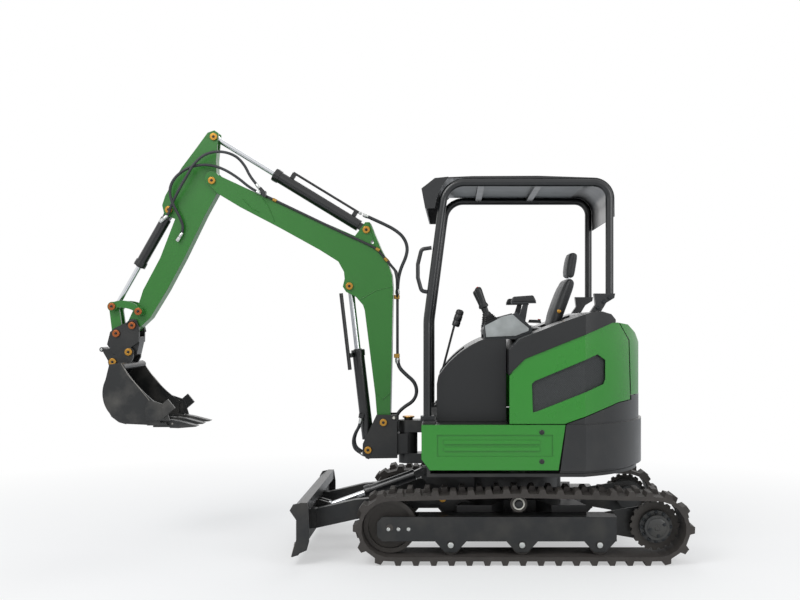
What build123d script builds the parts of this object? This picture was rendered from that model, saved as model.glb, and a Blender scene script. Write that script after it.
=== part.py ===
# Mini excavator on rubber tracks, with an open canopy, a swing boom, a dozer blade and a bucket
# on a quick coupler. Millimetres. X runs to the rear, Y to the machine's right, Z up from the
# ground, and the origin lies on the ground below the middle of the machine's bounding box.
import os
from math import acos, atan2, cos, hypot, pi, radians, sin, tan

from build123d import *

os.makedirs("parts", exist_ok=True)

# Clearances between pieces
SEAT_GAP = 0.3
MOVE_GAP = 5.0
PIN_GAP = 2.0

# Undercarriage
SLEW_X = 850.0
OVERALL_WIDTH = 1500.0
TRACK_WIDTH = 300.0
WHEEL_BASE = 1564.0
WHEEL_Z = 212.0
TRACK_PITCH_COUNT = 80
BELT_INNER_RADIUS = 162.0
BELT_THICKNESS = 24.0
LUG_HEIGHT = WHEEL_Z - BELT_INNER_RADIUS - BELT_THICKNESS
LUG_BASE = 46.0
LUG_TIP = 28.0
LUG_ROW_GAP = 6.0
WHEEL_RADIUS = 157.0
CARRIER_X = SLEW_X - 25.0
CARRIER_Z = 346.0
CARRIER_RADIUS = 49.0
ROLLER_RADIUS = 60.0
ROLLER_XS = (SLEW_X - 425.0, SLEW_X - 7.0, SLEW_X + 448.0)
ROLLER_WIDTH = 152.0
FRAME_PLATE = 14.0
FRAME_Z_LOW = 131.0
FRAME_Z_HIGH = 274.0
FRAME_FRONT_X = SLEW_X - 856.0
FRAME_REAR_X = SLEW_X + 547.0
FRAME_BOX_Z = 182.0
LOBE_Z = 67.0
LOBE_TOP_HALF = 92.0
LOBE_LOW_HALF = 34.0
AXLE_RADIUS = 20.0
HUB_CAP_RADIUS = 73.0
MOTOR_RADIUS = 74.0
BODY_HALF_LENGTH = 330.0
BODY_HALF_WIDTH = 250.0
BODY_Z_LOW = 215.0
BODY_Z_HIGH = 395.0
TIE_DOWN = (SLEW_X + 365.0, 265.0)
TIE_DOWN_RADIUS = 16.0
TIE_DOWN_PLATE = 25.0
TURRET_RADIUS = 280.0
BEARING_RADIUS = 270.0
BEARING_BORE = 190.0
BEARING_Z_LOW = 452.0

# Blade
BLADE_PIVOT = (SLEW_X - 475.0, 340.0)
BLADE_CYL_BASE = (SLEW_X - 600.0, 452.0)
BLADE_CYL_ROD = (SLEW_X - 1213.0, 232.0)
BLADE_FRONT_X = SLEW_X - 1360.0
BLADE_REAR_X = SLEW_X - 1247.0
BLADE_LOW_Z = 50.0
BLADE_HIGH_Z = 366.0
BLADE_SHEET = 14.0
BLADE_END = 12.0
BLADE_ARM_Y = 350.0
BLADE_ARM_WIDTH = 60.0

# House
SWING_X = SLEW_X - 700.0
HOUSE_FRONT_X = SLEW_X - 596.0
HOUSE_HALF = 700.0
FLOOR_Z = 505.0
FLOOR_THICKNESS = 20.0
DECK_Z = 813.0
TAIL_RADIUS = 790.0
PANEL_SHEET = 30.0
COUNTERWEIGHT_FRONT_X = SLEW_X + 262.0
NOSE_HALF = 60.0
NOSE_LOW = (510.0, 573.0)
NOSE_HIGH = (708.0, 785.0)

# Swing bracket, boom and arm pins, as (x, z) at rest
BOOM_FOOT = (SLEW_X - 855.0, 775.0)
BOOM_TIP = (SLEW_X - 1952.0, 2317.0)
BOOM_CYL_BASE = (SLEW_X - 953.0, 600.0)
BOOM_CYL_ROD = (SLEW_X - 1074.0, 1643.0)
ARM_CYL_BASE = (SLEW_X - 966.0, 2003.0)
ARM_CYL_ROD = (SLEW_X - 1945.0, 2600.0)
BUCKET_CYL_BASE = (SLEW_X - 2232.0, 2133.0)
ROCKER_END = (SLEW_X - 2585.0, 1513.0)
ROCKER_PIN = (SLEW_X - 2416.0, 1481.0)
ARM_END = (SLEW_X - 2461.0, 1392.0)
COUPLER_LINK = (SLEW_X - 2562.0, 1341.0)
BUCKET_FRONT_PIN = (SLEW_X - 2477.0, 1223.0)
BUCKET_REAR_PIN = (SLEW_X - 2578.0, 1160.0)
BOOM_HALF = 75.0
LIFT_EYE = (SLEW_X - 927.0, 1925.0)
LIFT_EYE_RADIUS = 12.0
CLAMP_ZS = (1196.5, 1575.0)
ARM_HALF = 52.0
HOSE_LOW = (SLEW_X - 2160.0, 1955.0)
HOSE_HIGH = (SLEW_X - 2262.0, 2071.0)
CHEEK_PLATE = 24.0
COUPLER_EAR = 20.0
ROCKER_PLATE = 14.0
ROCKER_Y = 78.0
LINK_PLATE = 20.0
EYE_HALF = 27.0
EYE_GAP = 30.0
PIN_RADIUS = 16.0
HEAD_RADIUS = 21.0
HEAD_THICKNESS = 12.0
BUCKET_HALF = 250.0
BUCKET_SHEET = 10.0
BUCKET_EAR = 20.0
TOOTH_PITCH = 195.0
CUTTER_PLATE = 12.0

# Canopy and operator's place
CANOPY_HALF = 550.0
CANOPY_TUBE = 48.0
CANOPY_TOP_Z = 2248.0
CANOPY_REAR_X = SLEW_X + 523.0
ROOF_REAR_Z = 2045.0
ROOF_BAR_XS = (SLEW_X - 260.0, SLEW_X + 90.0)


def side_plane(y):
    """The upright plane across the machine at y, with X to the right and Z up."""
    return Plane.XZ.offset(-y)


def slab(points, y_low, y_high, mode=Mode.ADD):
    """A flat piece between two side planes, with a straight-sided outline of (x, z) points."""
    with BuildSketch(side_plane(y_high)) as outline:
        with BuildLine():
            Polyline(*points, close=True)
        make_face()
    extrude(outline.sketch, amount=y_high - y_low, mode=mode)


def drum(centre, radius, y_low, y_high, mode=Mode.ADD):
    """A round piece across the machine between two side planes."""
    with BuildSketch(side_plane(y_high)) as outline:
        with Locations(centre):
            Circle(radius)
    extrude(outline.sketch, amount=y_high - y_low, mode=mode)


def both_sides(make, *where, y_low, y_high, mode=Mode.ADD):
    """The same piece on the right and on the left of the machine."""
    make(*where, y_low=y_low, y_high=y_high, mode=mode)
    make(*where, y_low=-y_high, y_high=-y_low, mode=mode)


def hull(start, end, start_radius, end_radius, y_low, y_high, mode=Mode.ADD):
    """A flat link between two side planes, round about both its pins."""
    with BuildSketch(side_plane(y_high)) as outline:
        with Locations(start):
            Circle(start_radius)
        with Locations(end):
            Circle(end_radius)
        make_hull()
    extrude(outline.sketch, amount=y_high - y_low, mode=mode)


def towards(start, end, along, across=0.0):
    """A point reached from start by going along the line to end, then across it to the left."""
    length = hypot(end[0] - start[0], end[1] - start[1])
    ux, uz = (end[0] - start[0]) / length, (end[1] - start[1]) / length
    return (start[0] + ux * along - uz * across, start[1] + uz * along + ux * across)


def line_plane(start, end, along, y=0.0):
    """A plane square to the line between two pins, that far along it and at that y."""
    x, z = towards(start, end, along)
    return Plane(origin=(x, y, z), z_dir=(end[0] - start[0], 0, end[1] - start[1]))


def rod_along(start, end, along_low, along_high, radius, y=0.0):
    """A round bar on the line between two pins, or beside it at y."""
    with BuildSketch(line_plane(start, end, along_low, y)) as section:
        Circle(radius)
    extrude(section.sketch, amount=along_high - along_low)


def finish(builder, name):
    """Name the piece and write it out."""
    builder.part.label = name
    export_step(builder.part, f"parts/{name}.step")


# Rubber track loop
TRACK_Y = OVERALL_WIDTH / 2 - TRACK_WIDTH / 2
IDLER = (SLEW_X - WHEEL_BASE / 2, WHEEL_Z)
SPROCKET = (SLEW_X + WHEEL_BASE / 2, WHEEL_Z)


def top_tangent(first, second):
    """The direction, in radians, in which the upper common tangent of two circles faces."""
    dx, dz = second[0] - first[0], second[1] - first[1]
    return atan2(dz, dx) + acos((first[2] - second[2]) / hypot(dx, dz))


def loop_runs(lift):
    """The loop as straight runs and arcs, lifted off the wheels, from the front bottom on."""
    front = (*IDLER, BELT_INNER_RADIUS + lift)
    top = (CARRIER_X, CARRIER_Z, CARRIER_RADIUS + SEAT_GAP + lift)
    rear = (*SPROCKET, BELT_INNER_RADIUS + lift)
    front_angle = top_tangent(front, top)
    rear_angle = top_tangent(top, rear)
    runs = [("arc", rear, -pi / 2, rear_angle), ("arc", top, rear_angle, front_angle)]
    runs.append(("arc", front, front_angle, 3 * pi / 2))
    return runs


def on_circle(circle, angle, lift=0.0):
    """A point on a circle given as (x, z, radius), lifted off it."""
    reach = circle[2] + lift
    return (circle[0] + reach * cos(angle), circle[1] + reach * sin(angle))


def loop_point(distance, lift):
    """The point that far round the belt's inner face, lifted outwards off it."""
    runs = loop_runs(0.0)
    previous = on_circle(runs[-1][1], runs[-1][3])
    for _, circle, start, end in runs:
        entry = on_circle(circle, start)
        straight = hypot(entry[0] - previous[0], entry[1] - previous[1])
        if distance <= straight:
            x, z = towards(previous, entry, distance)
            return (x + lift * cos(start), z + lift * sin(start))
        distance -= straight
        arc = circle[2] * (end - start)
        if distance <= arc:
            return on_circle(circle, start + distance / circle[2], lift)
        distance -= arc
        previous = on_circle(circle, end)
    return loop_point(distance, lift)


def loop_length():
    """The length of the belt's inner face."""
    runs = loop_runs(0.0)
    total = 0.0
    previous = on_circle(runs[-1][1], runs[-1][3])
    for _, circle, start, end in runs:
        entry = on_circle(circle, start)
        total += hypot(entry[0] - previous[0], entry[1] - previous[1])
        total += circle[2] * (end - start)
        previous = on_circle(circle, end)
    return total


def belt_outline(first_lug):
    """The belt's outer edge with a lug on every second link, starting on an odd or even one."""
    pitch = loop_length() / TRACK_PITCH_COUNT
    points = []
    for link in range(first_lug, TRACK_PITCH_COUNT, 2):
        middle = link * pitch
        points.append(loop_point(middle - LUG_BASE / 2 + loop_length(), BELT_THICKNESS))
        points.append(loop_point(middle - LUG_TIP / 2 + loop_length(), BELT_THICKNESS + LUG_HEIGHT))
        points.append(loop_point(middle + LUG_TIP / 2, BELT_THICKNESS + LUG_HEIGHT))
        points.append(loop_point(middle + LUG_BASE / 2, BELT_THICKNESS))
    return points


def belt_inside():
    """The belt's inner edge, one straight side for each link."""
    pitch = loop_length() / TRACK_PITCH_COUNT
    return [loop_point((link + 0.5) * pitch, 0.0) for link in range(TRACK_PITCH_COUNT)]


for side, sign in (("left", -1), ("right", 1)):
    y_inner = TRACK_Y - TRACK_WIDTH / 2
    y_outer = TRACK_Y + TRACK_WIDTH / 2
    y_middle = TRACK_Y
    plate_inner = TRACK_Y - ROLLER_WIDTH / 2 - PIN_GAP - FRAME_PLATE
    plate_outer = TRACK_Y + ROLLER_WIDTH / 2 + PIN_GAP

    # Rubber track
    with BuildPart() as track:
        for first, y_low, y_high in ((0, y_inner, y_middle), (1, y_middle, y_outer)):
            low, high = sorted((sign * y_low, sign * y_high))
            slab(belt_outline(first), low, high)
        low, high = sorted((sign * y_inner, sign * y_outer))
        slab(belt_inside(), low, high, mode=Mode.SUBTRACT)
    finish(track, f"track_{side}")

    # Track frame
    with BuildPart() as track_frame:
        outline = [(FRAME_FRONT_X, FRAME_Z_LOW + 30), (FRAME_FRONT_X, FRAME_Z_HIGH - 30)]
        outline += [(FRAME_FRONT_X + 30, FRAME_Z_HIGH), (FRAME_REAR_X, FRAME_Z_HIGH)]
        outline += [(FRAME_REAR_X, FRAME_Z_LOW)]
        for x in reversed(ROLLER_XS):
            outline += [(x + LOBE_TOP_HALF, FRAME_Z_LOW), (x + LOBE_LOW_HALF, LOBE_Z)]
            outline += [(x - LOBE_LOW_HALF, LOBE_Z), (x - LOBE_TOP_HALF, FRAME_Z_LOW)]
        outline += [(FRAME_FRONT_X + 30, FRAME_Z_LOW)]
        for y_low in (plate_inner, plate_outer):
            low, high = sorted((sign * y_low, sign * (y_low + FRAME_PLATE)))
            slab(outline, low, high)
            for x in ROLLER_XS:
                roller_z = WHEEL_Z - BELT_INNER_RADIUS + SEAT_GAP + ROLLER_RADIUS
                drum((x, roller_z), AXLE_RADIUS + SEAT_GAP, low, high, mode=Mode.SUBTRACT)
            drum(IDLER, AXLE_RADIUS + SEAT_GAP, low, high, mode=Mode.SUBTRACT)
        box_front = IDLER[0] + WHEEL_RADIUS + 2 * MOVE_GAP
        low, high = sorted((sign * plate_inner, sign * (plate_outer + FRAME_PLATE)))
        box = [(box_front, FRAME_BOX_Z), (box_front, FRAME_Z_HIGH)]
        box += [(FRAME_REAR_X, FRAME_Z_HIGH), (FRAME_REAR_X, FRAME_BOX_Z)]
        slab(box, low, high)
        low, high = sorted((sign * plate_inner, sign * (plate_inner + FRAME_PLATE)))
        hull((FRAME_REAR_X - 60, WHEEL_Z), SPROCKET, 60, 110, low, high)
        post = [(CARRIER_X - 30, FRAME_Z_HIGH), (CARRIER_X - 22, CARRIER_Z)]
        post += [(CARRIER_X + 22, CARRIER_Z), (CARRIER_X + 30, FRAME_Z_HIGH)]
        slab(post, low, high)
        drum((CARRIER_X, CARRIER_Z), 28, low, high)
        drum(SPROCKET, MOTOR_RADIUS + SEAT_GAP, low, high, mode=Mode.SUBTRACT)
    finish(track_frame, f"track_frame_{side}")

    # Sprocket, bolted to the final drive
    with BuildPart() as sprocket:
        low, high = sorted((sign * (TRACK_Y - 14), sign * (TRACK_Y + 14)))
        tooth_root = WHEEL_RADIUS - 22
        with BuildSketch(side_plane(high)) as toothed:
            with Locations(SPROCKET):
                Circle(tooth_root)
                with PolarLocations(tooth_root - 4, 20):
                    Trapezoid(52, 30, 62, rotation=-90)
                Circle(96, mode=Mode.SUBTRACT)
        extrude(toothed.sketch, amount=high - low)
    finish(sprocket, f"sprocket_{side}")

    # Final drive with its travel motor and hub cap
    with BuildPart() as final_drive:
        low, high = sorted((sign * (y_inner + 15), sign * (TRACK_Y - 14)))
        drum(SPROCKET, MOTOR_RADIUS, low, high)
        low, high = sorted((sign * (TRACK_Y - 14), sign * (TRACK_Y + 60)))
        drum(SPROCKET, 96 - SEAT_GAP, low, high)
        low, high = sorted((sign * (TRACK_Y + 60), sign * (TRACK_Y + 100)))
        drum(SPROCKET, HUB_CAP_RADIUS, low, high)
        low, high = sorted((sign * (TRACK_Y - 40), sign * (TRACK_Y - 14 - SEAT_GAP)))
        drum(SPROCKET, 118, low, high)
    finish(final_drive, f"final_drive_{side}")

    # Idler wheel, track rollers and the carrier roller
    with BuildPart() as rollers:
        low, high = sorted((sign * (TRACK_Y - 45), sign * (TRACK_Y + 45)))
        drum(IDLER, WHEEL_RADIUS, low, high)
        both = ((TRACK_Y - 45, TRACK_Y - 18), (TRACK_Y + 18, TRACK_Y + 45))
        for y_low, y_high in both:
            low, high = sorted((sign * y_low, sign * y_high))
            drum(IDLER, WHEEL_RADIUS - 26, low, high, mode=Mode.SUBTRACT)
        low, high = sorted((sign * (TRACK_Y - ROLLER_WIDTH / 2), sign * (TRACK_Y + ROLLER_WIDTH / 2)))
        drum(IDLER, 46, low, high)
        axle_end = plate_outer + FRAME_PLATE + SEAT_GAP
        low, high = sorted((sign * plate_inner, sign * axle_end))
        drum(IDLER, AXLE_RADIUS, low, high)
        roller_z = WHEEL_Z - BELT_INNER_RADIUS + SEAT_GAP + ROLLER_RADIUS
        for x in ROLLER_XS:
            low, high = sorted((sign * (TRACK_Y - ROLLER_WIDTH / 2), sign * (TRACK_Y + ROLLER_WIDTH / 2)))
            drum((x, roller_z), ROLLER_RADIUS, low, high)
            low, high = sorted((sign * plate_inner, sign * (plate_outer + FRAME_PLATE + 8)))
            drum((x, roller_z), AXLE_RADIUS, low, high)
        low, high = sorted((sign * (TRACK_Y - 60), sign * (TRACK_Y + 60)))
        drum((CARRIER_X, CARRIER_Z), CARRIER_RADIUS, low, high)
        low, high = sorted((sign * (plate_inner + FRAME_PLATE), sign * (TRACK_Y - 60)))
        drum((CARRIER_X, CARRIER_Z), AXLE_RADIUS, low, high)
    finish(rollers, f"rollers_{side}")

# Undercarriage centre frame with legs, turret, blade arm lugs and blade cylinder lugs
LEG_Y = TRACK_Y - ROLLER_WIDTH / 2 - PIN_GAP - FRAME_PLATE
LUG_PLATE = 22.0
with BuildPart() as centre_frame:
    half, wide = BODY_HALF_LENGTH, BODY_HALF_WIDTH
    quarter = [(SLEW_X + half, 0), (SLEW_X + half, wide), (SLEW_X + half + 60, LEG_Y)]
    quarter += [(SLEW_X + half - 150, LEG_Y), (SLEW_X + half - 230, wide + 60)]
    plan = quarter + [(2 * SLEW_X - x, y) for x, y in reversed(quarter)]
    plan += [(x, -y) for x, y in reversed(plan)]
    plan = [p for i, p in enumerate(plan) if p not in plan[:i]]
    with BuildSketch(Plane.XY.offset(BODY_Z_LOW)):
        with BuildLine():
            Polyline(*plan, close=True)
        make_face()
    extrude(amount=FRAME_Z_HIGH + 40 - BODY_Z_LOW)
    with BuildSketch(Plane.XY.offset(BODY_Z_LOW)):
        with Locations((SLEW_X, 0)):
            Circle(TURRET_RADIUS)
    extrude(amount=BEARING_Z_LOW - BODY_Z_LOW)
    with BuildSketch(Plane.XY.offset(BODY_Z_LOW)):
        with Locations((SLEW_X, 0)):
            Circle(BEARING_BORE)
    extrude(amount=BEARING_Z_LOW - BODY_Z_LOW, mode=Mode.SUBTRACT)
    with BuildSketch(Plane.XY.offset(TIE_DOWN[1] - TIE_DOWN_PLATE / 2)) as tail:
        with BuildLine():
            Polyline((SLEW_X + half - 10, 75), (TIE_DOWN[0] + 12, 45), (TIE_DOWN[0] + 42, 18),
                     (TIE_DOWN[0] + 42, -18), (TIE_DOWN[0] + 12, -45), (SLEW_X + half - 10, -75), close=True)
        make_face()
        with Locations((TIE_DOWN[0], 0)):
            Circle(TIE_DOWN_RADIUS, mode=Mode.SUBTRACT)
    extrude(tail.sketch, amount=TIE_DOWN_PLATE)
    px, pz = BLADE_PIVOT
    for y_low in (BLADE_ARM_Y - BLADE_ARM_WIDTH / 2 - PIN_GAP - LUG_PLATE,
                  BLADE_ARM_Y + BLADE_ARM_WIDTH / 2 + PIN_GAP):
        lug = [(px - 20, pz - 36), (px - 36, pz), (px - 20, pz + 34), (px + 25, pz + 34)]
        lug += [(SLEW_X - half + 40, FRAME_Z_HIGH + 40), (SLEW_X - half + 40, BODY_Z_LOW)]
        lug += [(px + 40, BODY_Z_LOW)]
        both_sides(slab, lug, y_low=y_low, y_high=y_low + LUG_PLATE)
    both_sides(drum, BLADE_PIVOT, PIN_RADIUS,
               y_low=BLADE_ARM_Y - BLADE_ARM_WIDTH / 2 - PIN_GAP - LUG_PLATE - HEAD_THICKNESS,
               y_high=BLADE_ARM_Y + BLADE_ARM_WIDTH / 2 + PIN_GAP + LUG_PLATE + HEAD_THICKNESS)
    bx, bz = BLADE_CYL_BASE
    ear = [(bx - 26, bz - 20), (bx - 26, bz + 20), (bx - 10, bz + 32), (bx + 40, bz + 32)]
    ear += [(SLEW_X - TURRET_RADIUS + 5, BEARING_Z_LOW - 8), (SLEW_X - TURRET_RADIUS + 60, BEARING_Z_LOW - 8)]
    ear += [(SLEW_X - TURRET_RADIUS + 60, FRAME_Z_HIGH + 40), (bx + 20, bz - 70)]
    both_sides(slab, ear, y_low=EYE_GAP, y_high=EYE_GAP + LUG_PLATE)
    both_sides(drum, BLADE_CYL_BASE, PIN_RADIUS, y_low=0, y_high=EYE_GAP + LUG_PLATE + HEAD_THICKNESS)
finish(centre_frame, "undercarriage_frame")

# Slewing bearing
with BuildPart() as slew_bearing:
    with BuildSketch(Plane.XY.offset(BEARING_Z_LOW)):
        with Locations((SLEW_X, 0)):
            Circle(BEARING_RADIUS)
            Circle(BEARING_BORE, mode=Mode.SUBTRACT)
    extrude(amount=FLOOR_Z - SEAT_GAP - BEARING_Z_LOW)
finish(slew_bearing, "slew_bearing")

# Blade arms with their cross tube
ARM_FRONT = (BLADE_REAR_X + SEAT_GAP, 212.0)
with BuildPart() as blade_arms:
    arm_low, arm_high = BLADE_ARM_Y - BLADE_ARM_WIDTH / 2, BLADE_ARM_Y + BLADE_ARM_WIDTH / 2
    side = [(ARM_FRONT[0], 154), (ARM_FRONT[0], 271), (SLEW_X - 1015, 326)]
    side += [(px - 40, pz + 32), (px + 10, pz + 32), (px + 32, pz), (px + 10, pz - 30)]
    side += [(SLEW_X - 1015, 205)]
    both_sides(slab, side, y_low=arm_low, y_high=arm_high)
    both_sides(drum, BLADE_PIVOT, PIN_RADIUS + SEAT_GAP, y_low=arm_low, y_high=arm_high,
               mode=Mode.SUBTRACT)
    brace = [(SLEW_X - 1100, 200), (SLEW_X - 1100, 224), (SLEW_X - 1015, 224), (SLEW_X - 1015, 200)]
    slab(brace, -arm_low, arm_low)
    ex, ez = BLADE_CYL_ROD
finish(blade_arms, "blade_arms")

# Blade
with BuildPart() as blade:
    mid_z = (BLADE_LOW_Z + BLADE_HIGH_Z) / 2
    front_low = (BLADE_FRONT_X + 12, BLADE_LOW_Z)
    front_mid = (BLADE_FRONT_X + 55, mid_z)
    front_high = (BLADE_FRONT_X + 18, BLADE_HIGH_Z - 30)
    half_width = OVERALL_WIDTH / 2
    with BuildSketch(side_plane(half_width)) as mould:
        with BuildLine():
            ThreePointArc(front_low, front_mid, front_high)
            Polyline(front_high, (BLADE_FRONT_X + 60, BLADE_HIGH_Z), (BLADE_REAR_X - 12, BLADE_HIGH_Z),
                     (BLADE_REAR_X - 12, BLADE_HIGH_Z - 60), (BLADE_REAR_X - 40, BLADE_HIGH_Z - 90),
                     (BLADE_REAR_X - 40, BLADE_LOW_Z + 60), (BLADE_REAR_X - 62, BLADE_LOW_Z + 12),
                     front_low)
        make_face()
    extrude(mould.sketch, amount=OVERALL_WIDTH)
    end = [(BLADE_FRONT_X + 9, BLADE_LOW_Z), (BLADE_FRONT_X + 38, BLADE_LOW_Z + 100)]
    end += [(BLADE_FRONT_X + 38, BLADE_HIGH_Z - 100), (BLADE_FRONT_X, BLADE_HIGH_Z - 45)]
    end += [(BLADE_FRONT_X + 20, BLADE_HIGH_Z - 10), (BLADE_FRONT_X + 75, BLADE_HIGH_Z)]
    end += [(BLADE_REAR_X - 10, BLADE_HIGH_Z - 10), (BLADE_REAR_X, BLADE_HIGH_Z - 80)]
    end += [(BLADE_REAR_X, BLADE_LOW_Z + 90), (BLADE_REAR_X - 14, BLADE_LOW_Z + 40)]
    both_sides(slab, end, y_low=half_width - BLADE_END, y_high=half_width)
    back = [(BLADE_REAR_X - 41, 150), (BLADE_REAR_X - 41, 275), (BLADE_REAR_X, 271), (BLADE_REAR_X, 154)]
    both_sides(slab, back, y_low=arm_low, y_high=arm_high)
    ear = [(BLADE_REAR_X - 41, ez - 50), (BLADE_REAR_X - 41, ez + 50), (ex + 10, ez + 26)]
    ear += [(ex + 26, ez), (ex + 10, ez - 26)]
    both_sides(slab, ear, y_low=EYE_GAP, y_high=EYE_GAP + LUG_PLATE)
    both_sides(drum, BLADE_CYL_ROD, HEAD_RADIUS, y_low=EYE_GAP + LUG_PLATE,
               y_high=EYE_GAP + LUG_PLATE + HEAD_THICKNESS)
finish(blade, "blade")


BARREL_START = 62.0
GLAND_LENGTH = 40.0


def port(end, before, y_low, y_high, half=16.0, length=26.0, mode=Mode.ADD):
    """A block that a hose's end sits on; the hose comes to it from the point before."""
    corners = [towards(end, before, -SEAT_GAP, half), towards(end, before, -length, half)]
    corners += [towards(end, before, -length, -half), towards(end, before, -SEAT_GAP, -half)]
    slab(corners, y_low, y_high, mode=mode)


def cylinder(start, end, barrel_radius, rod_radius, barrel_length, eye_radius, name, pipe=None, clamps=(),
             ports=()):
    """A hydraulic cylinder between two pins, as a barrel node and a rod node.

    A pipe beside the barrel is given as its offset, y, radius and both ends along the cylinder.
    """
    full = hypot(end[0] - start[0], end[1] - start[1])
    with BuildPart() as barrel:
        rod_along(start, end, BARREL_START, barrel_length - GLAND_LENGTH, barrel_radius)
        rod_along(start, end, barrel_length - GLAND_LENGTH, barrel_length, barrel_radius + 5)
        hull(start, towards(start, end, BARREL_START), eye_radius, 22, -EYE_HALF, EYE_HALF)
        drum(start, PIN_RADIUS + SEAT_GAP, -EYE_HALF, EYE_HALF, mode=Mode.SUBTRACT)
        with BuildSketch(line_plane(start, end, BARREL_START + 22 + MOVE_GAP)) as bore:
            Circle(rod_radius + SEAT_GAP)
        extrude(bore.sketch, amount=barrel_length, mode=Mode.SUBTRACT)
        if pipe:
            offset, pipe_y, pipe_radius, pipe_low, pipe_high = pipe
            beside = (towards(start, end, 0, offset), towards(start, end, full, offset))
            rod_along(*beside, pipe_low, pipe_high, pipe_radius, y=pipe_y)
            reach = offset - (barrel_radius - 8 if offset > 0 else 8 - barrel_radius)
            for along in clamps:
                corners = [towards(*beside, along - 14, 0), towards(*beside, along + 14, 0)]
                corners += [towards(*beside, along + 14, -reach), towards(*beside, along - 14, -reach)]
                slab(corners, min(pipe_y, -10), 10)
        for hose_end, before, y_low in ports:
            both_sides(port, hose_end, before, y_low=y_low, y_high=68)
    finish(barrel, f"{name}_cylinder")
    with BuildPart() as rod:
        rod_along(start, end, barrel_length - 100, full - eye_radius + 8, rod_radius)
        drum(end, eye_radius - 2, -EYE_HALF, EYE_HALF)
        drum(end, PIN_RADIUS + SEAT_GAP, -EYE_HALF, EYE_HALF, mode=Mode.SUBTRACT)
    finish(rod, f"{name}_rod")


cylinder(BLADE_CYL_BASE, BLADE_CYL_ROD, 36, 18, 400, 28, "blade")

# Plan of the house: straight sides running into a round tail about the slewing axis
def house_plan(inset, z):
    """The house's outline from above, that far inside its outer faces, as a face at height z."""
    half, radius = HOUSE_HALF - inset, TAIL_RADIUS - inset
    turn_x = SLEW_X + (radius**2 - half**2) ** 0.5
    front_x = HOUSE_FRONT_X + inset
    with BuildSketch(Plane.XY.offset(z)) as plan:
        with BuildLine():
            Polyline((turn_x, half), (front_x, half), (front_x, -half), (turn_x, -half))
            ThreePointArc((turn_x, -half), (SLEW_X + radius, 0), (turn_x, half))
        make_face()
    return plan.sketch


def house_block(inset, z_low, z_high, mode=Mode.ADD):
    """A block with the house's plan."""
    extrude(house_plan(inset, z_low), amount=z_high - z_low, mode=mode)


# House frame: floor plate, front wall and the nose that carries the swing bracket
NOSE_RADIUS = 62.0
with BuildPart() as house_frame:
    house_block(PANEL_SHEET + SEAT_GAP, FLOOR_Z, FLOOR_Z + FLOOR_THICKNESS)
    wall_front = HOUSE_FRONT_X + PANEL_SHEET + SEAT_GAP
    wall_half = HOUSE_HALF - PANEL_SHEET - SEAT_GAP
    wall = [(wall_front, FLOOR_Z), (wall_front, DECK_Z - 25), (wall_front + 20, DECK_Z - 25)]
    wall += [(wall_front + 20, FLOOR_Z)]
    slab(wall, -wall_half, wall_half)
    for low, high in (NOSE_LOW, NOSE_HIGH):
        with BuildSketch(Plane.XY.offset(low)):
            with BuildLine():
                Polyline((wall_front, 230), (SWING_X + 104, 66), (SWING_X, NOSE_RADIUS),
                         (SWING_X, -NOSE_RADIUS), (SWING_X + 104, -66), (wall_front, -230), close=True)
            make_face()
            with Locations((SWING_X, 0)):
                Circle(NOSE_RADIUS)
                Circle(PIN_RADIUS + 12 + SEAT_GAP, mode=Mode.SUBTRACT)
        extrude(amount=high - low)
    web = [(SWING_X + 112, NOSE_LOW[0]), (SWING_X + 112, NOSE_HIGH[1]), (wall_front + 10, NOSE_HIGH[1])]
    web += [(wall_front + 10, NOSE_LOW[0])]
    slab(web, -60, 60)
    with BuildSketch(Plane.XY.offset(FLOOR_Z)):
        with Locations((SLEW_X, 0)):
            Circle(BEARING_BORE - 10)
    extrude(amount=FLOOR_THICKNESS, mode=Mode.SUBTRACT)
finish(house_frame, "house_frame")

# Green lower side panels with a ribbed recess
PANEL_TOP_REAR_X = SLEW_X + 246.0
PANEL_LOW_REAR_X = SLEW_X + 205.0
PANEL_LOW_Z = 548.0
for side, sign in (("left", -1), ("right", 1)):
    with BuildPart() as side_panel:
        outline = [(HOUSE_FRONT_X, PANEL_LOW_Z + 64), (HOUSE_FRONT_X, DECK_Z), (PANEL_TOP_REAR_X, DECK_Z)]
        outline += [(PANEL_LOW_REAR_X, PANEL_LOW_Z), (HOUSE_FRONT_X + 49, PANEL_LOW_Z)]
        low, high = sorted((sign * (HOUSE_HALF - PANEL_SHEET), sign * HOUSE_HALF))
        slab(outline, low, high)
        recess = [(HOUSE_FRONT_X + 91, 627), (HOUSE_FRONT_X + 91, 755), (HOUSE_FRONT_X + 769, 755)]
        recess += [(HOUSE_FRONT_X + 769, 627)]
        low, high = sorted((sign * (HOUSE_HALF - 8), sign * HOUSE_HALF))
        slab(recess, low, high, mode=Mode.SUBTRACT)
        for z in (672, 712):
            rib = [(HOUSE_FRONT_X + 131, z - 11), (HOUSE_FRONT_X + 131, z + 11)]
            rib += [(HOUSE_FRONT_X + 693, z + 11), (HOUSE_FRONT_X + 693, z - 11)]
            slab(rib, low, high)
    finish(side_panel, f"side_panel_{side}")

SEAM = 6.0
COVER = [(SLEW_X - 81, 818), (SLEW_X - 81, 1100), (SLEW_X - 61, 1129), (SLEW_X + 10, 1199)]
COVER += [(SLEW_X + 97, 1234), (SLEW_X + 302, 1316), (SLEW_X + 540, 1412), (SLEW_X + 581, 1412)]
COVER += [(SLEW_X + 655, 1304), (SLEW_X + 668, 944), (SLEW_X + 583, 936), (SLEW_X + 464, 897)]
COVER += [(SLEW_X + 273, 830), (SLEW_X + 243, 818)]

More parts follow.
